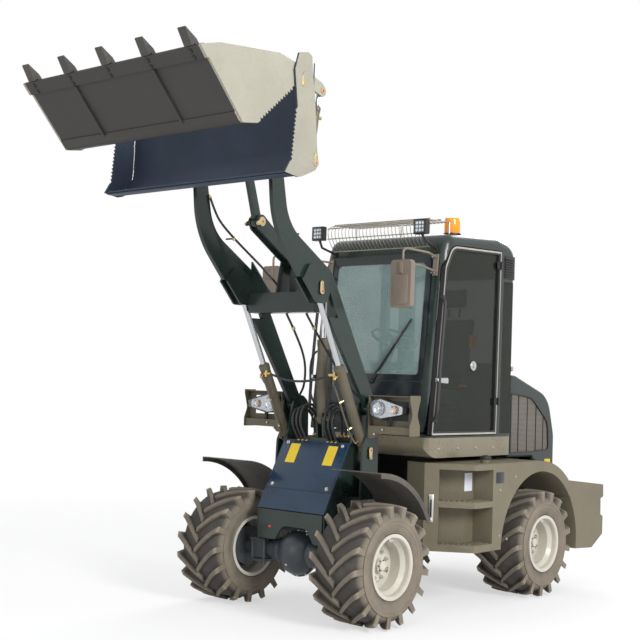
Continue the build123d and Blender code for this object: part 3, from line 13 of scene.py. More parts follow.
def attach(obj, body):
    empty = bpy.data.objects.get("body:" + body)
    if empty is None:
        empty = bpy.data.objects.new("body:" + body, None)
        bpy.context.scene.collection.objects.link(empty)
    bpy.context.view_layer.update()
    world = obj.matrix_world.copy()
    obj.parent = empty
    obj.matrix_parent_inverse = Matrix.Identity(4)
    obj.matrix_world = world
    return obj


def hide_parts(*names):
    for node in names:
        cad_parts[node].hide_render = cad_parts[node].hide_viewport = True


bl_info = {
    "name": "Wheel loader looks",
    "version": (1, 0, 0),
    "blender": (4, 5, 0),
    "location": "3D View > Sidebar > Loader",
    "description": "Finishes and fittings for a compact articulated wheel loader",
    "category": "Object",
}

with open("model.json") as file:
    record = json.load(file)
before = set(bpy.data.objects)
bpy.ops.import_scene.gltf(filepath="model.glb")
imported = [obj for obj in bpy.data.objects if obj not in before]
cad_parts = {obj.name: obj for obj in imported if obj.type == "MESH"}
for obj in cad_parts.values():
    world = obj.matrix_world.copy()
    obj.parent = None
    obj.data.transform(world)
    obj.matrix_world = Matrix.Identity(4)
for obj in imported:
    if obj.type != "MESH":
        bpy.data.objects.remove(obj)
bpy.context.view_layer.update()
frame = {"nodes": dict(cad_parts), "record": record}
JOINTS = {joint["name"]: joint for joint in frame["record"]["behaviour"]["joints"]}
HINGE_X = JOINTS["articulation"]["pos_m"][0]

# Lengths are in millimetres, but in metres in finishes, lights, the floor and swell().
# main pins, as (x, z) in the side plane
BOOM_PIN = (640.0, 1380.0)
KNEE_PIN = (1226.0, 2120.0)
BUCKET_PIN = (1648.0, 2865.0)
LIFT_BASE = (697.0, 1098.0)
TILT_BASE = (734.0, 1286.0)
TILT_ROD_PIN = (757.0, 2260.0)
LINK_PIN = (1447.0, 2561.0)
CLAM_PIN = (1918.0, 3305.0)
CLAM_ROD_PIN = (1739.0, 3254.0)
CLAM_BASE = (1799.0, 2813.0)
# ends of the clam's floor, of the valve cover and of the windscreen, as (x, z)
CLAM_HEEL = (2394.0, 2947.0)
CLAM_EDGE = (2721.0, 3307.0)
COVER_TOP = (786.0, 1140.0)
COVER_FOOT = (1040.0, 674.0)
SCREEN_TOP = (120.0, 2470.0)
SCREEN_FOOT = (205.0, 1500.0)
# corners of the left step box, as (x, y)
BOX_KINK = (5.0, 775.0)
STEP_CORNER = (135.0, 566.0)
BOX_NOSE = (193.0, 483.0)
# distances from the machine's centre plane, and places of the wheels
ARM_Y = 337.0
TOOTH_Y = (-690.0, -345.0, 0.0, 345.0, 690.0)
TOWER_HOSE_Y = (96.0, 132.0, 168.0)
AXLE_X = 925.0
TYRE_R = 393.5
WHEEL_Y = 603.0
# how far out keepers, their nuts and grease caps may reach
PLATE_LIMIT, NUT_LIMIT, CAP_LIMIT = 804.5, 805.8, 805.9
BEVEL_ANGLE = 0.6  # radians; edges that turn by less get no bevel
SMOOTH_ANGLE = 35.0  # degrees; edges that turn by less look smooth
CORNER_SHARE = 0.48  # part of a side that one rounded corner may take
NUT = (None, 6, 1.0)  # far radius, sides and bevel of a nut in a stack
X, Y, Z = (1, 0, 0), (0, 1, 0), (0, 0, 1)


# ------------------------------------------------------------------ places
def at(x, y, z):
    """Point in the frame from millimetres ahead of the articulation pin, left of the centre, above ground."""
    return Vector((HINGE_X + x / 1000, y / 1000, z / 1000))


def ways(start, end):
    """Unit directions along a line in the side plane and to its upper side."""
    dx, dz = end[0] - start[0], end[1] - start[1]
    length = math.hypot(dx, dz)
    return (dx / length, 0.0, dz / length), (-dz / length, 0.0, dx / length)


def on_line(start, end, run, rise=0.0, y=0.0):
    """Point run from start towards end in the side plane, and rise to the upper side of the line."""
    along, up = ways(start, end)
    return (start[0] + along[0] * run + up[0] * rise, y, start[1] + along[2] * run + up[2] * rise)


def glass_x(z):
    """X of the cab's front face at a height."""
    (x0, z0), (x1, z1) = SCREEN_TOP, SCREEN_FOOT
    return x0 + (x1 - x0) * (z - z0) / (z1 - z0)


def rounded(rows, steps=5):
    """Outline points from rows of (u, v, corner radius)."""
    points = []
    for index, (u, v, radius) in enumerate(rows):
        here = Vector((u, v))
        before = Vector(rows[index - 1][:2]) - here
        after = Vector(rows[(index + 1) % len(rows)][:2]) - here
        if not radius:
            points.append((u, v))
            continue
        half = before.angle(after) / 2
        reach = min(radius / math.tan(half), CORNER_SHARE * before.length, CORNER_SHARE * after.length)
        start, end = here + before.normalized() * reach, here + after.normalized() * reach
        for step in range(steps + 1):
            t = step / steps
            spot = start * (1 - t) ** 2 + here * 2 * t * (1 - t) + end * t * t
            points.append((spot.x, spot.y))
    return points


def pane(u0, u1, v0, v1, low, high=None):
    """Rectangle with rounded corners, of radius low at v0 and high at v1."""
    high = low if high is None else high
    return rounded([(u0, v0, low), (u1, v0, low), (u1, v1, high), (u0, v1, high)])


def scaled(points, middle, factor):
    """Outline made larger or smaller about a middle point."""
    middle = Vector(middle)
    return [tuple(middle + (Vector(point) - middle) * factor) for point in points]


def around(count, r, start=0.0):
    """Points evenly round a circle, the first at the angle start."""
    turns = [start + math.tau * number / count for number in range(count)]
    return [(r * math.cos(turn), r * math.sin(turn)) for turn in turns]


def evenly(first, step, count):
    return [first + step * number for number in range(count)]


def both(points):
    """A line and its mirror image on the machine's other side."""
    return [points, [(x, -y, z) for x, y, z in points]]


# ------------------------------------------------------------------ shader maths
class Socket:
    """A shader socket that takes part in Python arithmetic."""

    def __init__(self, tree, socket):
        self.tree = tree
        self.socket = socket

    def _math(self, operation, *values):
        return self.tree.node("ShaderNodeMath", {"operation": operation}, *values)[0]

    def __add__(self, other):
        return self._math("ADD", self, other)

    __radd__ = __add__

    def __sub__(self, other):
        return self._math("SUBTRACT", self, other)

    def __rsub__(self, other):
        return self._math("SUBTRACT", other, self)

    def __mul__(self, other):
        return self._math("MULTIPLY", self, other)

    __rmul__ = __mul__

    def __gt__(self, other):
        return self._math("GREATER_THAN", self, other)

    def __lt__(self, other):
        return self._math("LESS_THAN", self, other)

    def __abs__(self):
        return self._math("ABSOLUTE", self)

    def sine(self):
        return self._math("SINE", self)

    def most(self, other):
        return self._math("MAXIMUM", self, other)


class Tree:
    """A node tree of a material or world."""

    def __init__(self, owner):
        owner.use_nodes = True
        self.nodes = owner.node_tree.nodes
        self.links = owner.node_tree.links

    def node(self, kind, settings, *values, **named):
        """Adds a node, sets it up, feeds its sockets and returns its outputs."""
        made = self.nodes.new(kind)
        for key, value in settings.items():
            setattr(made, key, value)
        for index, value in enumerate(values):
            self.feed(made.inputs[index], value)
        for key, value in named.items():
            self.feed(made.inputs[key], value)
        return [Socket(self, out) for out in made.outputs]

    def feed(self, target, value):
        """Links a socket or sets a value. None leaves the socket as it is."""
        if isinstance(value, Socket):
            self.links.new(value.socket, target)
        elif value is not None:
            if isinstance(value, tuple) and len(value) == 3 and target.type == "RGBA":
                value = (*value, 1.0)
            target.default_value = value

    def seen(self):
        """1 for camera rays and for mirrored and see-through ones, which all show the plain background."""
        rays = self.node("ShaderNodeLightPath", {})
        camera, glossy, transmitted = rays[0], rays[3], rays[6]
        return camera.most(glossy).most(transmitted)


class Finish(Tree):
    """A node material with one Principled shader."""

    def __init__(self, name, **settings):
        self.material = bpy.data.materials.new(name)
        super().__init__(self.material)
        self.shader = next(node for node in self.nodes if node.type == "BSDF_PRINCIPLED")
        self.output = next(node for node in self.nodes if node.type == "OUTPUT_MATERIAL")
        for key, value in settings.items():
            self.put(key.replace("_", " ").title().replace("Ior", "IOR"), value)

    def put(self, key, value):
        self.feed(self.shader.inputs[key], value)

    def place(self):
        """Object coordinates."""
        return self.node("ShaderNodeTexCoord", {})[3]

    def axes(self):
        return self.node("ShaderNodeSeparateXYZ", {}, self.place())

    def noise(self, scale, detail=3.0, roughness=0.5):
        settings = dict(Scale=scale, Detail=detail, Roughness=roughness)
        return self.node("ShaderNodeTexNoise", {}, self.place(), **settings)[0]

    def steps(self, value, low, high):
        """0 below low and 1 above high."""
        return self.node("ShaderNodeMapRange", {}, value, low, high, 0.0, 1.0)[0]

    def mix(self, factor, first, second):
        """Colour between two colours."""
        other_types = [None] * 5
        return self.node("ShaderNodeMix", {"data_type": "RGBA"}, factor, *other_types, first, second)[2]

    def bump(self, height, strength, distance=0.001):
        settings = dict(Height=height, Strength=strength, Distance=distance)
        self.put("Normal", self.node("ShaderNodeBump", {}, **settings)[0])


def shade(colour, factor):
    return tuple(min(1.0, channel * factor) for channel in colour)


def enamel(name, colour, dust, roughness=0.32, coat=0.3, speckle=0.0, masked=None):
    """Sprayed paint with cloudy dust, orange peel and, where asked, coarse speckle."""
    finish = Finish(name, coat_weight=coat, coat_roughness=0.12, specular_ior_level=0.35)
    cloud = finish.noise(3.2, 5.0, 0.62)
    fine = finish.noise(38.0, 4.0, 0.7)
    veil = finish.steps(cloud * 0.7 + fine * 0.3, 0.42, 0.72)
    base = finish.mix(veil, colour, dust)
    if speckle:
        grains = finish.steps(finish.noise(260.0, 2.0, 0.6), 0.56, 0.68)
        base = finish.mix(grains * speckle, base, shade(dust, 1.8))
    finish.put("Base Color", masked(finish, base, veil) if masked else base)
    finish.put("Roughness", veil * 0.25 + (roughness - 0.05))
    finish.bump(finish.noise(330.0, 2.0), 0.1, 0.0006)
    return finish.material


def metal(name, colour, roughness=0.3):
    """Bare or plated metal with fine scratches."""
    finish = Finish(name, metallic=1.0)
    scratch = finish.noise(140.0, 4.0, 0.75)
    finish.put("Base Color", finish.mix(scratch, shade(colour, 0.75), colour))
    finish.put("Roughness", scratch * 0.22 + (roughness - 0.1))
    return finish.material


def moulded(name, colour, roughness=0.5, grain=420.0, emission=None):
    """Moulded plastic with a fine grain."""
    finish = Finish(name)
    finish.put("Base Color", finish.mix(finish.noise(7.0, 4.0, 0.6), shade(colour, 0.8), shade(colour, 1.3)))
    finish.put("Roughness", finish.noise(30.0) * 0.15 + (roughness - 0.07))
    finish.bump(finish.noise(grain, 2.0), 0.2, 0.0005)
    if emission:
        finish.put("Emission Color", emission)
        finish.put("Emission Strength", 0.15)
    return finish.material


def clear(name, colour, alpha, roughness=0.05):
    """Tinted see-through pane with a faint film of dust."""
    finish = Finish(name, roughness=roughness, specular_ior_level=0.3)
    film = finish.noise(5.0, 4.0, 0.6)
    finish.put("Base Color", finish.mix(film, colour, shade(colour, 1.5)))
    finish.put("Alpha", film * 0.06 + (alpha - 0.03))
    return finish.material


def tyre_rubber(name, dark, dusty):
    """Tyre rubber: darker between the lugs as painted shade, lighter on the lug tops and the side walls from
    dust and painted light.
    """
    finish = Finish(name, specular_ior_level=0.3)
    x, y, z = finish.axes()
    along = abs(x - HINGE_X) - AXLE_X / 1000
    rise = z - TYRE_R / 1000
    out = finish.steps(along * along + rise * rise, 0.1370, 0.1475)
    side = finish.steps(abs(abs(y) - WHEEL_Y / 1000), 0.158, 0.186)
    cloud = finish.noise(7.0, 5.0, 0.65)
    # lighter lug tops and side walls: dust and painted light; darker between the lugs: painted shade
    dust = finish.steps(side * 0.62 + out * 0.45 + (cloud - 0.5) * 0.8, 0.0, 1.0)
    finish.put("Base Color", finish.mix(dust, dark, dusty))
    finish.put("Roughness", cloud * 0.15 + 0.62)
    finish.bump(finish.noise(120.0, 4.0, 0.7), 0.25, 0.001)
    return finish.material


def mesh_screen(name, colour, hole_shade):
    """Pressed mesh: rows of round holes, painted near-black as the shade seen through them, in a dusty sheet.
    """
    finish = Finish(name, metallic=0.2)
    x, _, z = finish.axes()
    dots = finish.steps(abs((x * 330.0).sine() * (z * 330.0).sine()), 0.35, 0.55)
    dust = finish.noise(6.0, 4.0, 0.6)
    sheet = finish.mix(dust, colour, shade(colour, 1.6))
    finish.put("Base Color", finish.mix(dots, sheet, hole_shade))
    finish.put("Roughness", dust * 0.2 + 0.55)
    finish.bump(1.0 - dots, 0.4, 0.001)
    return finish.material


def woven(name, colour):
    """Upholstery cloth with a fine weave."""
    finish = Finish(name, sheen_weight=0.3)
    x, y, z = finish.axes()
    weave = (y * 2600.0).sine() * (z * 2600.0 + x * 2600.0).sine()
    finish.put("Base Color", finish.mix(finish.noise(9.0, 3.0), shade(colour, 0.75), shade(colour, 1.35)))
    finish.put("Roughness", 0.85)
    finish.bump(weave, 0.4, 0.0006)
    return finish.material


def cord_wrap(name, colour, pitch):
    """Hose under a spiral guard: dark coils at a pitch in metres."""
    finish = Finish(name)
    x, y, z = finish.axes()
    full_turn = 6.2832
    coil = finish.steps(((x + y + z) * (full_turn / pitch)).sine(), -0.2, 0.5)
    finish.put("Base Color", finish.mix(coil, shade(colour, 0.4), shade(colour, 1.6)))
    finish.put("Roughness", coil * 0.2 + 0.4)
    finish.bump(coil, 0.7, 0.002)
    return finish.material


def lamp_plastic(name, black, amber):
    """Roof lamps: amber on the beacon's dome and black elsewhere."""
    finish = Finish(name, roughness=0.35)
    x, _, z = finish.axes()
    dome_foot, lamps_behind = 2.6515, HINGE_X - 0.12
    dome = (z > dome_foot) * (x < lamps_behind)
    finish.put("Base Color", finish.mix(dome, black, amber))
    finish.bump(finish.noise(300.0, 2.0), 0.15, 0.0005)
    return finish.material


# ------------------------------------------------------------------ piece making
FINISHES = {}
FINISHES_OF_SLOT = {
    "body_paint": ("body", "navy", "bucket"),
    "chassis_grey": ("chassis", "frame", "barrel"),
    "clam_paint": ("clam",),
    "cast_grey": ("axle",),
    "tyre_rubber": ("tyre",),
    "seat_fabric": ("cloth",),
    "window_glass": ("frit",),
    "black_plastic": ("black", "red", "yellow", "white", "seal", "mirror", "hose"),
    "rod_chrome": ("silver", "chrome", "wire", "glass_face"),
    "pin_steel": ("gold", "brass"),
    "lamp_lens": ("led", "amber", "lens", "tail"),
}
# slot of a piece by its finish, unless the piece names its own
SLOT_OF = {finish: slot for slot, finishes in FINISHES_OF_SLOT.items() for finish in finishes}


class Piece:
    """A mesh piece in the making. Shapes are added in millimetres, then done() puts it on its body."""

    def __init__(self, name, finish, body="rear_chassis", slot=None, smooth=SMOOTH_ANGLE):
        self.name, self.finish, self.body, self.smooth = name, finish, body, smooth
        self.slot_name = slot or SLOT_OF[finish]
        self.bm = bmesh.new()

    def _bevel(self, verts, width):
        edges = {edge for vert in verts for face in vert.link_faces for edge in face.edges}
        sharp = [edge for edge in edges if edge.calc_face_angle(0.0) > BEVEL_ANGLE]
        if width and sharp:
            bmesh.ops.bevel(
                self.bm, geom=sharp, offset=width / 1000, segments=2, profile=0.5, affect="EDGES",
                material=-1,
            )

    def prism(self, axis, rows, low, high, bevel=0.0):
        """Carries an outline along x, y or z. Its points are (y, z), (x, z) or (x, y)."""
        index = "xyz".index(axis)
        step = (X, Y, Z)[index]
        verts = [self.bm.verts.new(at(*row[:index], low, *row[index:])) for row in rows]
        face = self.bm.faces.new(verts)
        made = bmesh.ops.extrude_face_region(self.bm, geom=[face])["geom"]
        tops = [item for item in made if isinstance(item, bmesh.types.BMVert)]
        bmesh.ops.translate(self.bm, verts=tops, vec=Vector(step) * (high - low) / 1000)
        self._bevel((*verts, *tops), bevel)
        return self

    def block(self, x0, x1, y0, y1, z0, z1, bevel=2.0):
        return self.prism("z", [(x0, y0), (x1, y0), (x1, y1), (x0, y1)], z0, z1, bevel)

    def slab(self, start, end, runs, rises, y0, y1, bevel):
        """Plate that lies along a line in the side plane."""
        (run0, run1), (low, high) = runs, rises
        corners = ((run0, low), (run1, low), (run1, high), (run0, high))
        spots = [on_line(start, end, *corner) for corner in corners]
        return self.prism("y", [(x, z) for x, _, z in spots], y0, y1, bevel)

    def drum(self, start, end, r0, r1=None, sides=20, bevel=0.0):
        """Round bar or cone between two points (x, y, z)."""
        a, b = at(*start), at(*end)
        turn = (b - a).to_track_quat("Z", "Y").to_matrix().to_4x4()
        r1 = r0 if r1 is None else r1
        made = bmesh.ops.create_cone(
            self.bm, cap_ends=True, segments=sides, radius1=r0 / 1000, radius2=r1 / 1000,
            depth=(b - a).length, matrix=Matrix.Translation((a + b) / 2) @ turn,
        )
        self._bevel(made["verts"], bevel)
        return self

    def stack(self, spot, way, *rows):
        """Drums along a direction. A row is (near run, far run, radius), then far radius, sides and bevel."""
        for low, high, *sizes in rows:
            near, far = ([p + w * run for p, w in zip(spot, way)] for run in (low, high))
            self.drum(near, far, *sizes)
        return self

    def nut(self, start, end, r):
        return self.drum(start, end, r, *NUT)

    def ball(self, centre, r, squash=(1, 1, 1)):
        scale = Matrix.Diagonal((*squash, 1)).to_4x4()
        place = Matrix.Translation(at(*centre)) @ scale
        bmesh.ops.create_uvsphere(self.bm, u_segments=16, v_segments=8, radius=r / 1000, matrix=place)
        return self

    def lathe(self, centre, axis, rows, steps=48):
        """Spins rows of (radius, distance along the axis) about an axis through centre."""
        axis = Vector(axis)
        across = axis.orthogonal().normalized()
        middle = at(*centre)
        verts = [self.bm.verts.new(middle + across * r / 1000 + axis * h / 1000) for r, h in rows]
        edges = [self.bm.edges.new(two) for two in zip(verts, verts[1:])]
        bmesh.ops.spin(
            self.bm, geom=verts + edges, cent=middle, axis=axis, dvec=(0, 0, 0), angle=math.tau, steps=steps,
            use_merge=True, use_duplicate=False,
        )
        return self

    def loft(self, sections, ring=False):
        """Skin through sections of as many points each. A ring closes on itself, and others are capped."""
        bands = [[self.bm.verts.new(at(*point)) for point in section] for section in sections]
        for near, far in zip(bands, bands[1:] + (bands[:1] if ring else [])):
            for index in range(len(near)):
                self.bm.faces.new((near[index - 1], near[index], far[index], far[index - 1]))
        if not ring:
            self.bm.faces.new(bands[0])
            self.bm.faces.new(bands[-1])
        return self

    def facing(self, rows):
        """Skin through outlines of (y, z) points, each at its own x."""
        return self.loft([[(x, y, z) for y, z in points] for x, points in rows])

    def border(self, place, outer, inner, low, high):
        """Flat band between two outlines, from low to high. place(u, v, lift) gives a point."""
        rims = ((low, outer), (high, outer), (high, inner), (low, inner))
        return self.loft([[place(u, v, lift) for u, v in points] for lift, points in rims], ring=True)

    def twin(self):
        """Adds the mirror image on the machine's other side."""
        geom = self.bm.verts[:] + self.bm.edges[:] + self.bm.faces[:]
        made = bmesh.ops.duplicate(self.bm, geom=geom)["geom"]
        verts = [item for item in made if isinstance(item, bmesh.types.BMVert)]
        bmesh.ops.scale(self.bm, vec=(1, -1, 1), verts=verts)
        return self

    def done(self, replaces=()):
        """Closes the mesh, gives it its finish and puts it on its body."""
        bmesh.ops.remove_doubles(self.bm, verts=self.bm.verts, dist=1e-6)
        bmesh.ops.recalc_face_normals(self.bm, faces=self.bm.faces)
        mesh = bpy.data.meshes.new(self.name)
        self.bm.to_mesh(mesh)
        self.bm.free()
        mesh.shade_smooth()
        mesh.set_sharp_from_angle(angle=math.radians(self.smooth))
        mesh.materials.append(FINISHES[self.finish])
        made = bpy.data.objects.new(self.name, mesh)
        bpy.context.scene.collection.objects.link(made)
        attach(made, self.body)
        if replaces:
            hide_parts(*replaces)
        return made


def evaluated(made):
    """New mesh from a piece with its modifiers applied."""
    bpy.context.view_layer.update()
    return bpy.data.meshes.new_from_object(made.evaluated_get(bpy.context.evaluated_depsgraph_get()))


def swell(made, grain, reach):
    """Swells a closed cushion of voxels under air pressure, and no point moves further than reach."""
    pressure, frames = 4.0, 20
    remesh = made.modifiers.new("grain", "REMESH")
    remesh.mode = "VOXEL"
    remesh.voxel_size = grain
    made.data = evaluated(made)
    made.modifiers.clear()
    start = [vert.co.copy() for vert in made.data.vertices]
    air = made.modifiers.new("air", "CLOTH").settings
    air.use_pressure = True
    air.uniform_pressure_force = pressure
    air.effector_weights.gravity = 0.0
    for number in range(1, frames + 1):
        bpy.context.scene.frame_set(number)
    puffed = evaluated(made)
    made.modifiers.clear()
    bpy.context.scene.frame_set(1)
    for vert, before in zip(puffed.vertices, start):
        move = vert.co - before
        if move.length > reach:
            vert.co = before + move.normalized() * reach
    made.data = puffed
    puffed.shade_smooth()
    return made


def line_piece(name, paths, r, finish, body="rear_chassis", sides=3):
    """Round bars or wires that follow smooth lines through points in millimetres."""
    data = bpy.data.curves.new(name, "CURVE")
    data.dimensions = "3D"
    data.bevel_depth = r / 1000
    data.bevel_resolution = sides
    data.resolution_u = 8
    data.use_fill_caps = True
    for points in paths:
        spline = data.splines.new("NURBS")
        spline.points.add(len(points) - 1)
        for spot, point in zip(spline.points, points):
            spot.co = (*at(*point), 1.0)
        spline.order_u = 3
        spline.use_endpoint_u = True
    data.materials.append(FINISHES[finish])
    made = bpy.data.objects.new(name, data)
    bpy.context.scene.collection.objects.link(made)
    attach(made, body)
    return made


def line_length(piece):
    """Length in metres of a curve's own line."""
    bare = piece.copy()
    bare.data = piece.data.copy()
    bare.data.bevel_depth = 0.0
    bpy.context.scene.collection.objects.link(bare)
    spots = [vert.co for vert in evaluated(bare).vertices]
    bpy.data.objects.remove(bare)
    return sum((b - a).length for a, b in zip(spots, spots[1:]))


def hose(name, points, r, body):
    """A flexible hose held at both ends; its length is measured and not kept."""
    made = line_piece(name, [points], r, "hose", body, 4)
    at(*points[0])
    line_length(made)


def hose_pair(name, points, r, body):
    """The same hose on the left and on the right. The name has {} for the side."""
    for side, run in zip(("left", "right"), both(points)):
        hose(name.format(side), run, r, body)


# ------------------------------------------------------------------ what a user would change
def tint(name, description, default):
    return FloatVectorProperty(name=name, description=description, subtype="COLOR", default=default)


class LoaderLooks(PropertyGroup):
    """Colours and sizes a user would change."""

    body: tint("Body", "Main paint of boom, cab and hood", (0.010, 0.020, 0.0165))
    body_dust: tint("Body dust", "Dust on the body paint", (0.021, 0.032, 0.027))
    chassis: tint("Chassis", "Grey paint of steps, weight and skirt", (0.142, 0.123, 0.083))
    chassis_dust: tint("Chassis dust", "Dust on the grey paint", (0.185, 0.162, 0.112))
    rim: tint("Rims", "Paint of the wheel rims", (0.53, 0.50, 0.43))
    lug_count: IntProperty(
        name="Lugs", description="Tyre lugs on each side of one wheel", default=17, min=8, max=30
    )
    lug_height: FloatProperty(
        name="Lug height", description="How far the lugs stand out of the tyre", default=0.028, unit="LENGTH"
    )
    key_power: FloatProperty(
        name="Key light", description="Power that the lamps are set from", default=520.0, unit="POWER"
    )


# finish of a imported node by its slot, or by its name where that is listed
BY_SLOT = {
    "body_paint": "body", "clam_paint": "clam", "chassis_grey": "chassis", "black_paint": "black",
    "rim_cream": "rim", "tyre_rubber": "tyre", "rod_chrome": "chrome", "cast_grey": "chassis",
    "pin_steel": "gold", "edge_steel": "clam", "window_glass": "door_glass", "lamp_lens": "lens",
    "black_plastic": "black", "seat_fabric": "cloth",
}
BY_NODE = {
    "front_cover": "navy", "bucket": "bucket", "clam_jaw": "clam", "windshield": "screen",
    "front_axle": "axle", "rear_axle": "axle", "front_mudguards": "guard", "mirrors": "mirror",
    "engine": "cast", "rear_frame": "frame", "hood_grilles": "grille", "cab_body": "cab",
    "cab_controls": "black", "tilt_cylinder_barrel": "barrel", "lift_cylinder_barrels": "barrel",
    "clam_cylinder_barrels": "barrel", "headlight_brackets": "bracket", "clam_teeth": "tooth",
    "roof_lamps": "lamp_set",
}


class LOADER_OT_finishes(Operator):
    """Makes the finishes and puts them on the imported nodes"""

    bl_idname = "loader.finishes"
    bl_label = "Finishes"

    def execute(self, context):
        looks = context.scene.loader_looks
        body, dust = tuple(looks.body), tuple(looks.body_dust)
        grey, grey_dust = tuple(looks.chassis), tuple(looks.chassis_dust)
        rim = tuple(looks.rim)
        pale = (0.31, 0.295, 0.24)
        skirt_top = 1.178
        bucket_side, clam_side = 0.797, 0.7648

        def skirt(finish, base, veil):
            low = finish.axes()[2] < skirt_top
            return finish.mix(low, base, finish.mix(veil, shade(grey, 1.25), shade(grey_dust, 1.25)))

        # Faces inside the limit take other colours: the bucket's own dark inner paint, and painted shade on
        # the clam.
        def outer_plates(limit, inner, inner_dust):
            def paint(finish, base, veil):
                side = abs(finish.axes()[1]) > limit
                return finish.mix(side, finish.mix(veil, inner, inner_dust), base)
            return paint

        inside = outer_plates(bucket_side, (0.026, 0.038, 0.062), (0.046, 0.062, 0.095))
        # The clam's floor and inner faces take a dark brown-grey, painted shade for its shaded underside; its
        # outer side plates keep the pale paint.
        clam_underside_shade = outer_plates(clam_side, (0.038, 0.034, 0.031), (0.055, 0.05, 0.045))
        rows = (
            # key, maker, name, colour, dust, roughness, coat, speckle, mask
            ("body", enamel, "body_paint", body, dust),
            ("cab", enamel, "cab_paint", body, dust, 0.32, 0.3, 0.0, skirt),
            # cover: dark paint with the sky's blue reflection painted into its colour
            ("navy", enamel, "cover_paint", (0.007, 0.024, 0.052), (0.016, 0.038, 0.070), 0.3, 0.15),
            ("chassis", enamel, "chassis_paint", grey, grey_dust, 0.55, 0.05),
            ("bracket", enamel, "bracket_paint", shade(grey, 0.8), grey, 0.55, 0.05),
            ("barrel", enamel, "cylinder_paint", shade(grey, 0.62), shade(grey, 0.9), 0.45, 0.1),
            ("frame", enamel, "frame_paint", (0.03, 0.034, 0.033), (0.06, 0.06, 0.055), 0.5, 0.1),
            ("axle", enamel, "axle_paint", (0.028, 0.036, 0.045), (0.06, 0.062, 0.062), 0.42, 0.15),
            ("cast", enamel, "engine_paint", (0.05, 0.055, 0.05), (0.09, 0.085, 0.07), 0.6, 0.0),
            ("guard", enamel, "mudguard_paint", (0.055, 0.050, 0.044), (0.13, 0.115, 0.095), 0.6, 0.0),
            ("tooth", enamel, "tooth_paint", (0.045, 0.042, 0.038), (0.10, 0.09, 0.078), 0.55, 0.0, 0.3),
            ("bucket", enamel, "bucket_paint", shade(pale, 0.8), pale, 0.6, 0.0, 0.45, inside),
            # clam: pale outer side plates, with painted shade on the floor and inner faces
            ("clam", enamel, "clam_paint", shade(pale, 0.9), shade(pale, 1.1), 0.6, 0.0, 0.5, clam_underside_shade),
            ("rim", enamel, "rim_paint", rim, shade(rim, 0.8), 0.38, 0.1),
            # tyre: painted shade between the lugs, dust and painted light on the lug tops and side walls
            ("tyre", tyre_rubber, "tyre_rubber", (0.052, 0.046, 0.041), (0.27, 0.228, 0.172)),
            # key, maker, name, colour, roughness
            ("chrome", metal, "rod_chrome", (0.62, 0.63, 0.65), 0.18),
            ("wire", metal, "guard_wire", (0.40, 0.37, 0.31), 0.36),
            ("silver", metal, "zinc_plate", (0.66, 0.66, 0.64), 0.3),
            ("gold", metal, "passivated_steel", (0.72, 0.60, 0.34), 0.32),
            ("brass", metal, "brass_fitting", (0.70, 0.50, 0.20), 0.28),
            ("glass_face", metal, "mirror_glass", (0.75, 0.78, 0.8), 0.12),
            # key, maker, name, colour, roughness, grain, emission
            ("black", moulded, "black_plastic", (0.014, 0.014, 0.015)),
            ("mirror", moulded, "mirror_shell", (0.17, 0.138, 0.108), 0.55),
            ("seal", moulded, "door_seal", (0.34, 0.32, 0.28), 0.6),
            ("red", moulded, "grease_cap", (0.55, 0.03, 0.015), 0.4),
            ("yellow", moulded, "plain_label", (0.62, 0.44, 0.012), 0.4),
            ("white", moulded, "white_label", (0.68, 0.70, 0.76), 0.35),
            ("amber", moulded, "amber_lens", (0.78, 0.26, 0.01), 0.15, 60.0, (0.8, 0.25, 0.01, 1.0)),
            ("tail", moulded, "red_lens", (0.45, 0.02, 0.015), 0.2, 60.0),
            ("led", moulded, "led_lens", (0.72, 0.75, 0.80), 0.12, 60.0),
            ("frit", moulded, "printed_border", (0.012, 0.016, 0.02), 0.12, 90.0),
            # key, maker, name, colour, alpha
            ("lens", clear, "clear_lens", (0.55, 0.62, 0.68), 0.10),
            ("door_glass", clear, "door_glass", (0.012, 0.014, 0.010), 0.62),
            ("screen", clear, "screen_glass", (0.26, 0.37, 0.35), 0.36),
            # key, maker, name and what that maker takes
            ("lamp_set", lamp_plastic, "lamp_set", (0.016, 0.016, 0.017), (0.80, 0.27, 0.012)),
            ("hose", cord_wrap, "hose_wrap", (0.022, 0.022, 0.024), 0.012),
            ("cloth", woven, "seat_cloth", (0.05, 0.085, 0.16)),
            # grille: the holes' near-black is painted shade seen through them
            ("grille", mesh_screen, "grille_mesh", (0.17, 0.155, 0.125), (0.012, 0.012, 0.011)),
        )
        for key, maker, *settings in rows:
            FINISHES[key] = maker(*settings)
        slots = {part["node"]: part["material_slot"] for part in frame["record"]["subparts"]}
        for name, node in frame["nodes"].items():
            node.data.materials.clear()
            node.data.materials.append(FINISHES[BY_NODE.get(name) or BY_SLOT[slots[name]]])
        return {"FINISHED"}


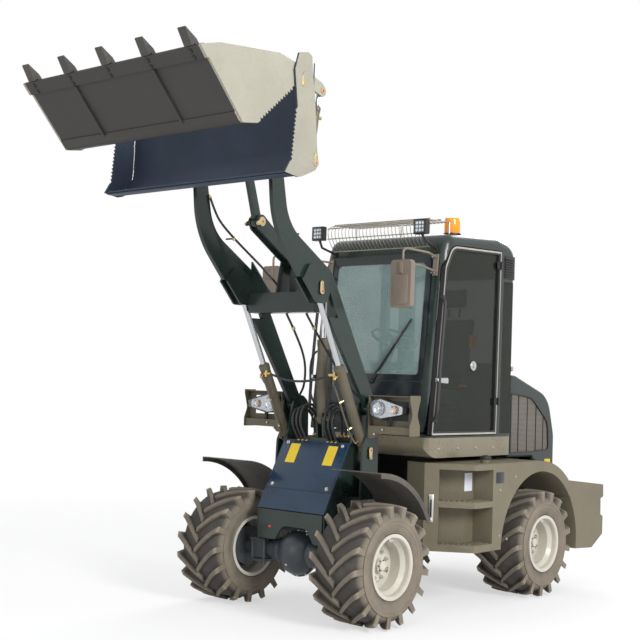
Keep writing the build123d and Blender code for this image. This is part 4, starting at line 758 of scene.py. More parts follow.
class LOADER_OT_stage(Operator):
    """Makes the floor, backdrop, lights and camera"""

    bl_idname = "loader.stage"
    bl_label = "Stage"

    def floor(self, scene):
        mesh = bpy.data.meshes.new("floor")
        bm = bmesh.new()
        half_width, gap_below_tyres = 60.0, 0.001
        bmesh.ops.create_grid(bm, x_segments=1, y_segments=1, size=half_width)
        bmesh.ops.translate(bm, verts=bm.verts, vec=(0, 0, -gap_below_tyres))
        bm.to_mesh(mesh)
        bm.free()
        floor = bpy.data.objects.new("floor", mesh)
        scene.collection.objects.link(floor)
        paper = Finish("floor_paper", roughness=0.95, specular_ior_level=0.0)
        paper.put("Base Color", (0.86, 0.86, 0.86))
        x, y, _ = paper.axes()
        far = paper.steps(x * x + y * y, 9.0, 60.0)
        glow = paper.node("ShaderNodeEmission", {})[0]
        lit = Socket(paper, paper.shader.outputs[0])
        mixed = paper.node("ShaderNodeMixShader", {}, paper.seen() * (far * 0.42 + 0.58), lit, glow)[0]
        paper.feed(paper.output.inputs["Surface"], mixed)
        mesh.materials.append(paper.material)

    def world(self, scene):
        scene.world = bpy.data.worlds.new("studio")
        sky = Tree(scene.world)
        soft = sky.nodes["Background"]
        sky.feed(soft.inputs["Color"], (0.97, 0.98, 1.0))
        sky.feed(soft.inputs["Strength"], 0.72)
        white = sky.node("ShaderNodeBackground", {}, (1.0, 1.0, 1.0))[0]
        blend = sky.node("ShaderNodeMixShader", {}, sky.seen(), Socket(sky, soft.outputs[0]), white)[0]
        sky.feed(sky.nodes["World Output"].inputs["Surface"], blend)

    def lamps(self, scene):
        power = scene.loader_looks.key_power
        rows = (
            # name, place, width, power, aim, in metres and watts
            ("key", (2.5, 9.0, 5.5), 3.0, power * 1.6, (0.2, 0.0, 1.3)),
            ("front", (10.0, 1.0, 4.0), 6.0, power * 0.35, (0.6, 0.0, 1.2)),
            ("back", (-8.0, -3.0, 6.0), 4.0, power * 0.7, (0.0, 0.0, 1.2)),
        )
        for name, place, width, strength, aim in rows:
            light = bpy.data.lights.new(name, "AREA")
            light.size = width
            light.energy = strength
            lamp = bpy.data.objects.new(name, light)
            lamp.location = place
            lamp.rotation_euler = (Vector(aim) - Vector(place)).to_track_quat("-Z", "Y").to_euler()
            scene.collection.objects.link(lamp)

    def camera(self, scene):
        data = bpy.data.cameras.new("camera")
        camera = bpy.data.objects.new("camera", data)
        eye = (7068, 5422, 1554)
        yaw, pitch, roll = (math.radians(angle) for angle in (220.829, 2.827, 1.856))
        forward = Vector((math.cos(yaw) * math.cos(pitch), math.sin(yaw) * math.cos(pitch), math.sin(pitch)))
        right = Vector((math.sin(yaw), -math.cos(yaw), 0.0))
        up = right.cross(forward)
        right_rolled = right * math.cos(roll) + up * math.sin(roll)
        up_rolled = up * math.cos(roll) - right * math.sin(roll)
        turn = Matrix((right_rolled, up_rolled, -forward)).transposed().to_4x4()
        camera.matrix_world = Matrix.Translation(at(*eye)) @ turn
        data.sensor_width = 36.0
        data.lens = 68.2
        data.clip_end = 200.0
        scene.collection.objects.link(camera)
        scene.camera = camera

    def execute(self, context):
        scene = context.scene
        self.floor(scene)
        self.world(scene)
        self.lamps(scene)
        self.camera(scene)
        scene.view_settings.view_transform = "Standard"
        return {"FINISHED"}


class LOADER_OT_hoses(Operator):
    """Makes the hydraulic hoses of the tower, the boom and the cylinders"""

    bl_idname = "loader.hoses"
    bl_label = "Hoses"

    def execute(self, context):
        # hose loops from the valve space up over the tower's top plate
        for index, y in enumerate(TOWER_HOSE_Y):
            top = 1384 - 14.0 * index
            loop = [
                (778, y, 1140), (814, y + 6, 1192), (850, y + 12, 1272), (812, y + 16, top),
                (688, y + 8, top), (622, y - 6, 1262), (626, y - 10, 1166),
            ]
            hose_pair("tower_hose_{}_" + str(index + 1), loop, 9.0, "front_chassis")
        # long hoses up the boom to the bucket, behind the beam
        run = [
            (662, 300, 1424), (676, 262, 1446), (716, 186, 1530), (800, 116, 1700), (960, 92, 1900),
            (1062, 88, 2020), (1074, 90, 2110), (1120, 120, 2200), (1240, 190, 2330), (1400, 250, 2470),
            (1500, 290, 2575), (1540, 302, 2650), (1566, 308, 2706), (1578, 312, 2734),
        ]
        hose_pair("boom_hose_{}", run, 8.0, "boom_arms")
        # cross hose between the lift cylinders' upper ports, with a sag in the middle
        x, _, z = on_line(LIFT_BASE, KNEE_PIN, 560, -20)
        left = [(x + 14, 292, z), (x + 20, 240, z - 6), (x + 26, 150, z - 34), (x + 28, 50, z - 46)]
        hose("cross_hose", left + both(left)[1][::-1], 8.0, "lift_barrels")
        # supply hoses of the tilt cylinder
        high, low = (on_line(TILT_BASE, TILT_ROD_PIN, place, 0, 40) for place in (470, 70))
        x, _, z = high
        drop = [
            high, (x + 10, 74, z - 10), (x + 26, 96, z - 90), (x + 22, 92, z - 230),
            (low[0] + 26, 84, low[2] + 60), low,
        ]
        hose_pair("tilt_hose_{}", drop, 7.0, "tilt_barrel")
        return {"FINISHED"}


class LOADER_OT_wheels(Operator):
    """Makes the lugged tyres and the wheel nuts, hubs and valves"""

    bl_idname = "loader.wheels"
    bl_label = "Wheels"

    def tyre(self, name, x, side, looks):
        tread = TYRE_R - looks.lug_height * 1000
        piece = Piece(f"{name}_tyre_tread", "tyre", f"{name}_wheel", smooth=32.0)
        half = [
            # radius, distance from the tyre's middle
            (tread, 0), (tread - 2, 70), (tread - 8, 120), (tread - 18, 156), (tread - 36, 176),
            (tread - 62, 186), (308, 192), (290, 193), (288, 190), (280, 191), (262, 189), (260, 186),
            (240, 182), (222, 178), (216, 182), (211, 177), (209, 172), (206, 160),
        ]
        rows = [(r, -w) for r, w in reversed(half[1:])] + half
        piece.lathe((x, side * WHEEL_Y, TYRE_R), Y, rows, 96)
        lug_reach, crown_drop, foot_drop, shoulder = 188.0, 9.0, 52.0, 0.72
        sweep = math.radians(23.0)
        stations = (-0.06, 0.25, 0.52, 0.78, 0.96, 1.0)

        def section(t, hand, start):
            """Foot, top, top and foot of a lug at t from the tread's middle to the shoulder."""
            angle = start - sweep * (1 - t) ** 1.25 if t < 1 else start
            top = TYRE_R - 1 - crown_drop * max(0.0, t) ** 3
            foot = tread - 10 - foot_drop * max(0.0, t - shoulder) / (1 - shoulder)
            half_angle = (15.0 + 4.0 * t) / TYRE_R
            y = side * WHEEL_Y + hand * lug_reach * t
            bends = ((foot, 1.35), (top, 1.0), (top, -1.0), (foot, -1.35))
            turns = [(r, angle + grow * half_angle) for r, grow in bends]
            return [(x + r * math.cos(turn), y, TYRE_R + r * math.sin(turn)) for r, turn in turns]

        for hand, offset in ((1, 0.0), (-1, 0.5)):
            for number in range(looks.lug_count):
                start = math.tau * (number + offset) / looks.lug_count
                piece.loft([section(t, hand, start) for t in stations])
        piece.done(replaces=(f"{name}_tyre",))

    def fittings(self, name, x, side):
        wheel = f"{name}_wheel"
        way = (0, side, 0)
        disc, face = side * (WHEEL_Y + 60.0), side * (WHEEL_Y + 90.0)
        nut_circle, hub_circle, plug_circle = 84, 36, 122
        nuts = Piece(f"{name}_wheel_nuts", "silver", wheel)
        for u, v in around(8, nut_circle, math.pi / 8):
            nuts.stack((x + u, disc, TYRE_R + v), way, (-1, 3, 15), (2, 14, 11, *NUT), (12, 22, 6, None, 12))
        nuts.done()
        hub = Piece(f"{name}_hub_bolts", "black", wheel)
        for u, v in around(6, hub_circle):
            hub.stack((x + u, face, TYRE_R + v), way, (-1, 6, 5, *NUT))
        for u, v in around(2, plug_circle, 0.35):
            hub.stack((x + u, disc, TYRE_R + v), way, (-22, -15, 14, 17))
        hub.done()
        near, bend, end, far = (side * (WHEEL_Y + out) for out in (122, 150, 166, 164))
        valve = Piece(f"{name}_valve", "silver", wheel)
        valve.block(x - 24, x + 24, near, far, TYRE_R + 156, TYRE_R + 177, 3)
        valve.drum((x + 4, bend, TYRE_R + 174), (x + 6, end, TYRE_R + 152), 5).done()

    def execute(self, context):
        looks = context.scene.loader_looks
        for end, x in (("front", AXLE_X), ("rear", -AXLE_X)):
            for hand, side in (("left", 1), ("right", -1)):
                self.tyre(f"{end}_{hand}", x, side, looks)
                self.fittings(f"{end}_{hand}", x, side)
        cover = Piece("axle_cover_bolts", "silver", "front_chassis")
        for y, up in around(12, 151):
            cover.stack((AXLE_X, y, TYRE_R + up), X, (13, 21, 6, *NUT))
        cover.drum((AXLE_X + 120, 0, TYRE_R - 60), (AXLE_X + 134, 0, TYRE_R - 66), 9).done()
        return {"FINISHED"}


class LOADER_OT_pins(Operator):
    """Makes the keeper plates and grease caps on the pins"""

    bl_idname = "loader.pins"
    bl_label = "Pins"

    def outline(self, pin, run, r):
        """Keeper's outline: round at the pin, and smaller and round at its bolt."""
        bolt_end = 0.72
        lead = math.atan2(run[1], run[0]) + math.pi / 2
        points = []
        for (x, z), size in ((pin, r), ((pin[0] + run[0], pin[1] + run[1]), -r * bolt_end)):
            for step in range(9):
                turn = lead + math.pi * step / 8
                points.append((x + size * math.cos(turn), z + size * math.sin(turn)))
        return points

    def execute(self, context):
        rows = (
            # name, body, pin, outer face, keeper's run from the pin, radius
            ("knee", "boom_arms", KNEE_PIN, 383.0, (4, 52), 21),
            ("lift_base", "front_chassis", LIFT_BASE, 399.0, (0, -50), 19),
            ("boom_heel", "front_chassis", BOOM_PIN, 401.0, (-34, -34), 22),
            ("bucket_hinge", "hinge_pins", BUCKET_PIN, 398.0, None, 20),
            ("clam_hinge", "bucket_back", CLAM_PIN, 799.9, (14, -52), 22),
            ("clam_rod", "clam", CLAM_ROD_PIN, 781.0, None, 17),
            ("clam_base", "bucket_back", CLAM_BASE, 799.9, (4, 46), 19),
            ("link", "crank", LINK_PIN, 49.0, (44, -16), 19),
            ("tilt_base", "front_chassis", TILT_BASE, 45.0, (26, 14), 18),
        )
        for name, body, (x, z), face, run, r in rows:
            plate = Piece(f"{name}_keepers", "gold", body)
            if run:
                plate.prism("y", self.outline((x, z), run, r), face, min(face + 6, PLATE_LIMIT), 1.2)
                plate.stack((x + run[0], 0, z + run[1]), Y, (face + 3, min(face + 13, NUT_LIMIT), 9, *NUT))
            else:
                plate.stack((x, face, z), Y, (0, 6, r, None, 28, 1.2))
            plate.twin().done()
            cap = Piece(f"{name}_grease_caps", "red", body)
            cap.stack((x, 0, z), Y, (face + 3, min(face + 10, CAP_LIMIT), 8, 6, 14, 1.0)).twin().done()
        return {"FINISHED"}


class LOADER_OT_cylinders(Operator):
    """Makes the glands, ports and steel tubes of the hydraulic cylinders"""

    bl_idname = "loader.cylinders"
    bl_label = "Cylinders"

    def cylinder(self, name, body, base, tip, y, length, r, rod_r):
        def done(piece):
            (piece.twin() if y else piece).done()

        along, up = ways(base, tip)
        foot = on_line(base, tip, 0, 0, y)
        collar = Piece(f"{name}_gland_collars", "barrel", body)
        collar.stack(foot, along, (length - 0.5, length + 8, r * 0.86, r * 0.78, 32, 1.5))
        for run in (length - 0.9 * r - 8, 0.42 * length):
            collar.stack(foot, along, (run, run + 7, r + 1.6, None, 32, 0.8))
        done(collar)
        wiper = Piece(f"{name}_rod_wipers", "black", body)
        done(wiper.stack(foot, along, (length + 7, length + 11, rod_r + 5, rod_r + 3)))
        port = Piece(f"{name}_ports", "brass", body)
        sign = -1 if name == "lift" else 1
        for run in (length - 52, 78):
            spot = on_line(base, tip, run, 0, y)
            port.stack(spot, [sign * part for part in up], (r - 3, r + 12, 9), (r + 10, r + 24, 11, *NUT))
        done(port)

    def execute(self, context):
        rows = (
            # name, body, base, rod pin, plane, barrel length, barrel radius, rod radius
            ("lift", "lift_barrels", LIFT_BASE, KNEE_PIN, ARM_Y, 616.0, 35.0, 19.0),
            ("tilt", "tilt_barrel", TILT_BASE, TILT_ROD_PIN, 0.0, 545.0, 42.0, 20.0),
            ("clam", "clam_barrels", CLAM_BASE, CLAM_ROD_PIN, 750.0, 345.0, 22.0, 12.0),
        )
        for row in rows:
            self.cylinder(*row)

        def place(run, rise, inward):
            """Point beside the left lift cylinder's barrel."""
            return on_line(LIFT_BASE, KNEE_PIN, run, rise, ARM_Y - inward)

        # steel tube down the front of each lift cylinder, from the upper tee to the low port
        tube = [
            place(564, -58, 6), place(540, -74, 22), place(500, -66, 30), place(480, -60, 30),
            place(160, -58, 26), place(100, -60, 10), place(80, -58, 0),
        ]
        line_piece("lift_steel_tubes", both(tube), 6.5, "barrel", "lift_barrels")
        tee = Piece("lift_tees", "brass", "lift_barrels")
        x, _, z = on_line(LIFT_BASE, KNEE_PIN, 560, -20)
        tee.stack((x + 14, 0, z), Y, (274, 322, 11, None, 6)).stack((x + 14, 306, z), Z, (-22, 20, 9))
        tee.nut(place(566, -50, 6), place(552, -72, 8), 11).nut((x + 14, 262, z - 1), (x + 14, 280, z), 12)
        tee.twin().done()
        clamps = Piece("steel_tube_clamps", "gold", "lift_barrels")
        for run in (180, 380):
            clamps.drum(place(run, -30, 14), place(run, -66, 29), 7, sides=8)
        clamps.twin().done()
        return {"FINISHED"}


class LOADER_OT_bucket(Operator):
    """Makes the tooth bolts and nuts, weld beads and wear strips of the four-in-one bucket"""

    bl_idname = "loader.bucket"
    bl_label = "Bucket"

    def execute(self, context):
        up = ways(CLAM_EDGE, CLAM_HEEL)[1]
        rows = (
            # name, finish, runs from the edge, heads and washers or nuts
            ("tooth_bolts", "black", (22, 62), ((13, 17, 16), (17, 22, 12, 9, 12, 1.0))),
            ("tooth_nuts", "silver", (22, 46), ((-39, -50, 10, *NUT),)),
        )
        for name, finish, runs, drums in rows:
            piece = Piece(name, finish, "clam")
            for y in TOOTH_Y:
                for run in runs:
                    piece.stack(on_line(CLAM_EDGE, CLAM_HEEL, run, 0, y), up, *drums)
            piece.done()
        corners = ((1834, 3140), (1834, 2990), (1835, 2870), (1850, 2810), (1930, 2733), (2040, 2740))
        weld = both([(x, 783.5, z) for x, z in corners])
        line_piece("bucket_side_welds", weld, 4.5, "silver", "bucket_back", 2)
        weld = both([on_line(CLAM_HEEL, CLAM_EDGE, run, rise, 764.0) for run, rise in ((30, 16), (440, 17))])
        line_piece("clam_side_welds", weld, 4.0, "clam", "clam", 2)
        strips = Piece("clam_wear_strips", "clam", "clam")
        strips.slab(CLAM_HEEL, CLAM_EDGE, (14, 74), (0, -6), -770, 770, 1.5).done()
        edge = Piece("bucket_lip_wear", "bucket", "bucket_back")
        edge.prism("y", [(1990, 2719), (2048, 2720), (2048, 2714), (1990, 2712)], -784, 784, 1.0).done()
        return {"FINISHED"}


class LOADER_OT_tower(Operator):
    """Makes the valve cover's sheet, blank labels and bolts, and the fittings, valves and wiring behind it"""

    bl_idname = "loader.tower"
    bl_label = "Tower"

    def execute(self, context):
        cover = (COVER_TOP, COVER_FOOT)
        length = math.dist(*cover)
        # the sheet takes the cover's finish, with the sky's blue reflection painted in
        sheet = Piece("valve_cover_sheet", "navy", "front_chassis")
        sheet.slab(*cover, (10, length * 0.70), (-0.5, 3.0), -284, 284, 0.6).done()
        for side, y in (("left", 168), ("right", -168)):
            label = Piece(f"plain_label_{side}", "yellow", "front_chassis")
            label.slab(*cover, (34, 178), (2.8, 3.6), y - 42, y + 42, 0.0).done()
        bolts = Piece("cover_bolts", "silver", "front_chassis")
        for run in (28, length * 0.65):
            for y in (-244, 244):
                spot = on_line(*cover, run, 0, y)
                bolts.stack(spot, ways(*cover)[1], (2.5, 5, 13, None, 20, 0.6), (5, 13, 9, *NUT))
        bolts.done()
        plug = Piece("nose_plug", "red", "front_chassis")
        plug.drum((1039, -175, 560), (1046, -175, 560), 10, 8, 16, 1.0).done()
        fittings = Piece("tower_fittings", "brass", "front_chassis")
        for y in TOWER_HOSE_Y:
            fittings.nut((768, y, 1120), (784, y, 1146), 14).drum((756, y, 1108), (772, y, 1128), 10)
            fittings.nut((628, y - 10, 1160), (628, y - 10, 1182), 14)
        fittings.twin().done()
        rack = Piece("hose_rack", "frame", "front_chassis")
        rack.block(738, 770, -250, 250, 1100, 1112, 1.5)
        for low, high in ((62, 196), (-196, -62)):
            rack.block(600, 656, low, high, 1159, 1166, 1.5)
        rack.done()
        valves = Piece("valve_bank", "axle", "front_chassis")
        for y in evenly(-130, 80, 4):
            valves.block(600, 730, y, y + 64, 940, 1080, 6)
            valves.stack((665, y + 32, 1080), Z, (0, 18, 18, None, 16, 2))
        valves.done()
        # wiring in the valve space stays with the front frame
        wires = []
        for index, y in enumerate((-60, -20, 20, 60)):
            wires.append([(470, y, 700 + 10 * index), (440, y + 6, 760), (450, y, 850), (556, y - 8, 900)])
        line_piece("frame_wiring", wires, 9.0, "black", "front_chassis")
        return {"FINISHED"}


class LOADER_OT_boom(Operator):
    """Makes the hose clips and fittings and the weld beads on the boom"""

    bl_idname = "loader.boom"
    bl_label = "Boom"

    def execute(self, context):
        clips = Piece("boom_hose_clips", "gold", "boom_arms")
        for x, y, z in ((1074, 90, 2092), (1400, 250, 2470), (960, 92, 1900)):
            clips.drum((x - 6, y, z - 8), (x + 6, y, z + 8), 13, sides=16, bevel=1.0)
        clips.twin().done()
        posts = Piece("hose_clip_posts", "body", "boom_arms")
        posts.block(1068, 1092, 80, 100, 2060, 2080, 1.5)
        posts.drum((1400, 252, 2470), (1400, 324, 2470), 6, sides=10).twin().done()
        weld = both([(1168, 292, 2127), (1168, 200, 2126), (1168, 116, 2126)])
        line_piece("beam_welds", weld, 3.5, "body", "boom_arms", 2)
        fittings = Piece("boom_hose_fittings", "brass", "boom_arms")
        fittings.nut((1571, 310, 2720), (1577, 312, 2738), 12).drum((1577, 308, 2734), (1578, 324, 2736), 9)
        fittings.nut((664, 296, 1424), (660, 316, 1420), 12)
        fittings.twin().done()
        return {"FINISHED"}


class LOADER_OT_headlights(Operator):
    """Makes the headlamps: shell, reflector, bulbs and lens"""

    bl_idname = "loader.headlights"
    bl_label = "Headlights"

    def execute(self, context):
        corners = (
            # y, z, radius
            (425, 1330, 30), (500, 1305, 50), (700, 1345, 18), (700, 1395, 18), (500, 1450, 50),
            (425, 1425, 30),
        )
        rim = rounded(corners)
        centre = Vector((545, 1378))
        main_bulb, side_bulb = (490, 1378), (618, 1372)

        def shrunk(gap):
            """The rim's outline drawn in by about a gap."""
            rays = [Vector(point) - centre for point in rim]
            return [tuple(centre + away * (1 - gap / max(away.length, 60))) for away in rays]

        hollow = shrunk(9)
        shell = Piece("headlamp_shells", "black", "front_chassis")
        shell.prism("x", shrunk(4), 682, 728, 3)
        shell.facing([(728, shrunk(4)), (745, rim), (748, rim), (748, hollow), (733, hollow)])
        shell.block(695, 715, 545, 565, 1262, 1325, 2)
        shell.twin().done(replaces=("headlights",))
        bowl = Piece("headlamp_reflectors", "chrome", "front_chassis")
        bowl.prism("x", hollow, 733, 735.5)
        for spot, r in ((main_bulb, 46), (side_bulb, 29)):
            curve = [(r, 14.0), (r - 2, 12.0), (r * 0.8, 6.5), (r * 0.5, 3.2), (8, 2.4), (0.5, 2.3)]
            bowl.lathe((733, *spot), X, curve, 32)
        bowl.twin().done()
        bulb = Piece("headlamp_bulbs", "led", "front_chassis")
        bulb.ball((742, *main_bulb), 9, (0.7, 1, 1)).twin().done()
        amber = Piece("indicator_bulbs", "amber", "front_chassis")
        amber.ball((740, *side_bulb), 13, (0.6, 1, 1)).twin().done()
        lens = Piece("headlamp_lenses", "lens", "front_chassis")
        lens.facing([(x, shrunk(gap)) for x, gap in ((748, 5), (752, 6), (756, 15), (757, 30))]).twin().done()
        bolts = Piece("bracket_bolts", "silver", "front_chassis")
        for y, z in ((520, 1240), (452, 1208)):
            bolts.nut((730, y, z), (738, y, z), 7)
        bolts.twin().done()
        return {"FINISHED"}


class LOADER_OT_cab(Operator):
    """Makes the cab's seals, handles, louvres, wire guard, wiper, lamps and mirrors"""

    bl_idname = "loader.cab"
    bl_label = "Cab outside"

    def doors(self):
        corners = (
            # x, z, radius
            (222, 1196, 10), (-592, 1196, 10), (-612, 2550, 10), (26, 2530, 100), (106, 2378, 100),
            (184, 1563, 60),
        )
        edge = rounded(corners)
        middle = (-200, 1870)
        lever = rounded([(84, 1556, 14), (206, 1562, 10), (206, 1594, 10), (84, 1598, 16)])
        for hand, side in (("left", 1), ("right", -1)):
            body, way = f"{hand}_door", (0, side, 0)
            seal = Piece(f"{hand}_door_seal", "seal", body)
            outer, inner = scaled(edge, middle, 0.996), scaled(edge, middle, 0.978)
            seal.border(lambda x, z, y: (x, side * y, z), outer, inner, 552.2, 555.7).done()
            latch = Piece(f"{hand}_door_latch", "chrome", body)
            latch.stack((-285, 0, 1690), way, (538, 549, 38, 34, 32, 2.0), (548, 556, 13, None, 20, 1.5))
            latch.prism("y", lever, side * 560, side * 588.5, 4).done()
            lock = Piece(f"{hand}_door_lock", "black", body)
            lock.stack((150, 0, 1520), way, (552, 562, 15, None, 24, 1.5))
            for z in (1437.0, 2445.0):
                for x in (-574, -590):
                    lock.stack((x, 0, z + (x + 582) * 1.4), way, (555, 561, 5, 4, 10))
            lock.done()

    def front(self):
        panel = Piece("screen_base", "frit")
        rows = pane(-440, 440, 1336, 1560, 30, 24)
        panel.loft([[(glass_x(z) + out, y, z) for y, z in rows] for out in (1.5, 4.5)]).done()
        border = Piece("screen_border", "frit")
        outer, inner = pane(-446, 446, 1572, 2446, 34, 54), pane(-404, 404, 1612, 2408, 30, 46)
        border.border(lambda y, z, lift: (glass_x(z) + lift, y, z), outer, inner, 0.6, 2.6).done()
        wiper = Piece("wiper_arm", "black")
        root, tip, elbow = (60.0, 1632.0), (318.0, 2006.0), (190, 1822)
        pivot_x, elbow_x = glass_x(1560) + 2, glass_x(1810)
        wiper.drum((pivot_x, 0, 1556), (pivot_x + 24, 0, 1558), 17, 14, 20, 2)
        wiper.drum((pivot_x + 16, 0, 1560), (elbow_x + 20, *elbow), 6, 4, 10)
        for lift, r in ((16, 3.5), (9, 6.0)):
            wiper.drum((glass_x(root[1]) + lift, *root), (glass_x(tip[1]) + lift, *tip), r, sides=8)
        wiper.drum((elbow_x + 8, *elbow), (elbow_x + 23, *elbow), 7).done()

    def roof(self):
        louvre = Piece("roof_louvres", "black")
        for z in evenly(2368, 18.0, 9):
            blade = [(-790, z), (-662, z), (-662, z + 4), (-790, z + 4)]
            louvre.loft([[(x, y, v - drop) for x, v in blade] for y, drop in ((548, 0), (556, 5), (560, 12))])
        louvre.block(-800, -652, 549, 552, 2352, 2528, 1).twin().done()
        guard_bend = (
            (132, 2508), (176, 2532), (232, 2610), (236, 2672), (190, 2706), (60, 2716), (-110, 2716),
        )
        wires = [[(x, y, z) for x, z in guard_bend] for y in evenly(-430, 860 / 26, 27)]
        line_piece("roof_guard_wires", wires, 2.6, "wire", sides=2)
        places = ((148, 2516), (226, 2604), (230, 2680), (150, 2716), (20, 2722), (-108, 2722))
        bars = [[(x, y, z) for y in (-440, 0, 440)] for x, z in places]
        line_piece("roof_guard_bars", bars, 4.0, "wire", sides=2)
        feet = Piece("roof_guard_feet", "silver")
        for y in (-430, 0, 430):
            feet.drum((-100, y, 2636), (-100, y, 2718), 7, sides=12)
        feet.done()
        self.lamps()
        foot = (-210, 380, 2633)
        dome = [(56, 18), (57.5, 24), (57.5, 96), (56.5, 112), (54, 124), (50, 130), (40, 133), (0.5, 135)]
        Piece("beacon_lens", "amber").lathe(foot, Z, dome, 40).done()
        collar = [(50, 2), (64, 2), (65, 6), (64, 17), (56, 19), (50, 19)]
        Piece("beacon_ribs", "black").lathe(foot, Z, collar, 40).done()

    def lamps(self):
        rim = Piece("work_lamp_rims", "black")
        leds = Piece("work_lamp_leds", "led")
        glass = Piece("work_lamp_lenses", "lens")
        edge, inner = pane(420, 516, 2588, 2688, 0), pane(428, 508, 2596, 2680, 0)
        rim.facing([(308, edge), (318, edge), (318, inner), (311, inner)])
        for z in evenly(2612, 26, 3):
            for y in evenly(442, 26, 3):
                leds.stack((0, y, z), X, (311, 315, 10, 7, 14))
        for y in evenly(424, 15.3, 7):
            rim.block(262, 272, y - 2.5, y + 2.5, 2592, 2684, 0)
        glass.block(316, 317.5, 428, 508, 2596, 2680, 0)
        for piece in (rim, leds, glass):
            piece.twin().done()

    def fittings(self):
        bar = [
            (130, 548, 2152), (140, 576, 2140), (146, 586, 2080), (184, 586, 1700), (206, 586, 1380),
            (206, 574, 1318), (204, 548, 1302),
        ]
        line_piece("grab_bars", both(bar), 12.0, "black", sides=4)
        Piece("grab_bar_mounts", "black").ball((118, 546, 2154), 22).ball((194, 546, 1300), 22).twin().done()
        x, y, z = 650.0, 588.0, 2210.0
        glass = Piece("mirror_glass", "glass_face")
        glass.prism("x", pane(y - 74, y + 74, z - 150, z + 148, 18), x - 24, x - 21.5).twin().done()
        back = Piece("mirror_backs", "mirror")
        back.prism("x", pane(y - 62, y + 62, z - 140, z + 60, 22), x + 21, x + 26, 3)
        back.prism("x", pane(y - 20, y + 20, z + 64, z + 146, 4), x + 21, x + 30, 3)
        for up in (88, 128):
            back.stack((x, y, z + up), X, (29, 34, 6, None, 6))
        back.twin().done()
        bolts = Piece("cab_bolts", "silver")
        for y, z in ((462, 2330), (462, 2442), (488, 2330), (488, 2442)):
            bolts.stack((147 - (z - 2330) * 0.088, y, z), X, (0, 6, 6, *NUT))
        for x in evenly(-560, 230, 4):
            bolts.stack((x, 0, 1100), Y, (549, 553, 11, None, 20, 0.6), (552, 559, 7, *NUT))
        bolts.twin().done()
        frames = Piece("rear_window_frame", "frit")
        outer, inner = pane(-428, 428, 1682, 2408, 46, 66), pane(-386, 386, 1724, 2366, 30, 46)
        frames.border(lambda y, z, x: (x, y, z), outer, inner, -829.5, -826).done()

    def execute(self, context):
        self.doors()
        self.front()
        self.roof()
        self.fittings()
        return {"FINISHED"}


class LOADER_OT_inside(Operator):
    """Makes the seat's cushions, the belt, the dash display, the lever boots and the pedals"""

    bl_idname = "loader.inside"
    bl_label = "Cab inside"

    def cushion(self, name, rows, y0, y1):
        piece = Piece(name, "cloth", smooth=60.0)
        piece.prism("y", rounded(rows, 6), y0, y1, 16)
        swell(piece.done(), 0.009, 0.018)

    def execute(self, context):
        seat = [(-180, 1436, 40), (-604, 1420, 30), (-618, 1484, 40), (-198, 1512, 50)]
        back = [(-590, 1510, 30), (-640, 1512, 30), (-750, 2058, 40), (-702, 2076, 40)]
        head = [(-708, 2150, 24), (-752, 2142, 24), (-764, 2288, 30), (-732, 2296, 30)]
        self.cushion("seat_cushion", seat, -168, 288)
        self.cushion("seat_back", back, -148, 268)
        self.cushion("head_rest", head, -50, 170)
        base = Piece("seat_base", "black")
        base.prism("y", [(-620, 1068), (-180, 1068), (-180, 1132), (-620, 1132)], -160, 280, 6)
        for number, z in enumerate(evenly(1136, 42.0, 6)):
            fold = 6 if number % 2 else 0
            base.block(-575 + fold, -225 - fold, -116 + fold, 236 - fold, z, z + 40, 8)
        for y in (10, 110):
            base.drum((-725, y, 2070), (-735, y, 2140), 9, sides=14)
        arm = rounded([(-600, 1640, 20), (-300, 1650, 24), (-300, 1690, 18), (-616, 1684, 20)])
        for y in (-186, 260):
            base.prism("y", arm, y, y + 46, 8)
        base.done(replaces=("seat",))
        # the belt takes the amber lens finish, whose faint emission is a painted glow
        belt = Piece("seat_belt", "amber", slot="seat_fabric")
        belt.block(-706, -640, 262, 292, 1830, 1930, 8).block(-560, -470, 285, 312, 1536, 1552, 4).done()
        dash = Piece("dash_display", "frit")
        dash.block(96, 104, -96, 96, 1622, 1650, 2)
        dash.prism("y", rounded([(20, 1640, 6), (56, 1646, 6), (52, 1700, 6), (30, 1700, 6)]), -140, 140, 3)
        for y in evenly(-90, 60, 4):
            dash.drum((36, y, 1698), (34, y, 1708), 9, 7, 12)
        dash.done()
        boots = Piece("lever_boots", "black")
        folds = [(46, 0), (50, 8), (38, 14), (42, 24), (30, 30), (34, 40), (20, 48), (14, 60)]
        boots.lathe((-158, -340, 1419), Z, folds, 24)
        for x, top in ((-250, 1500), (-320, 1480)):
            boots.drum((x, -340, 1420), (x + 4, -338, top), 8, 6, 12).ball((x + 5, -338, top + 6), 15)
        boots.done()
        pedals = Piece("pedals", "black")
        pad = rounded([(120, 1076, 3), (20, 1120, 3), (24, 1128, 3), (126, 1084, 3)])
        for y in (-210, 170, 240):
            pedals.prism("y", pad, y, y + 54, 3)
        pedals.done()
        return {"FINISHED"}


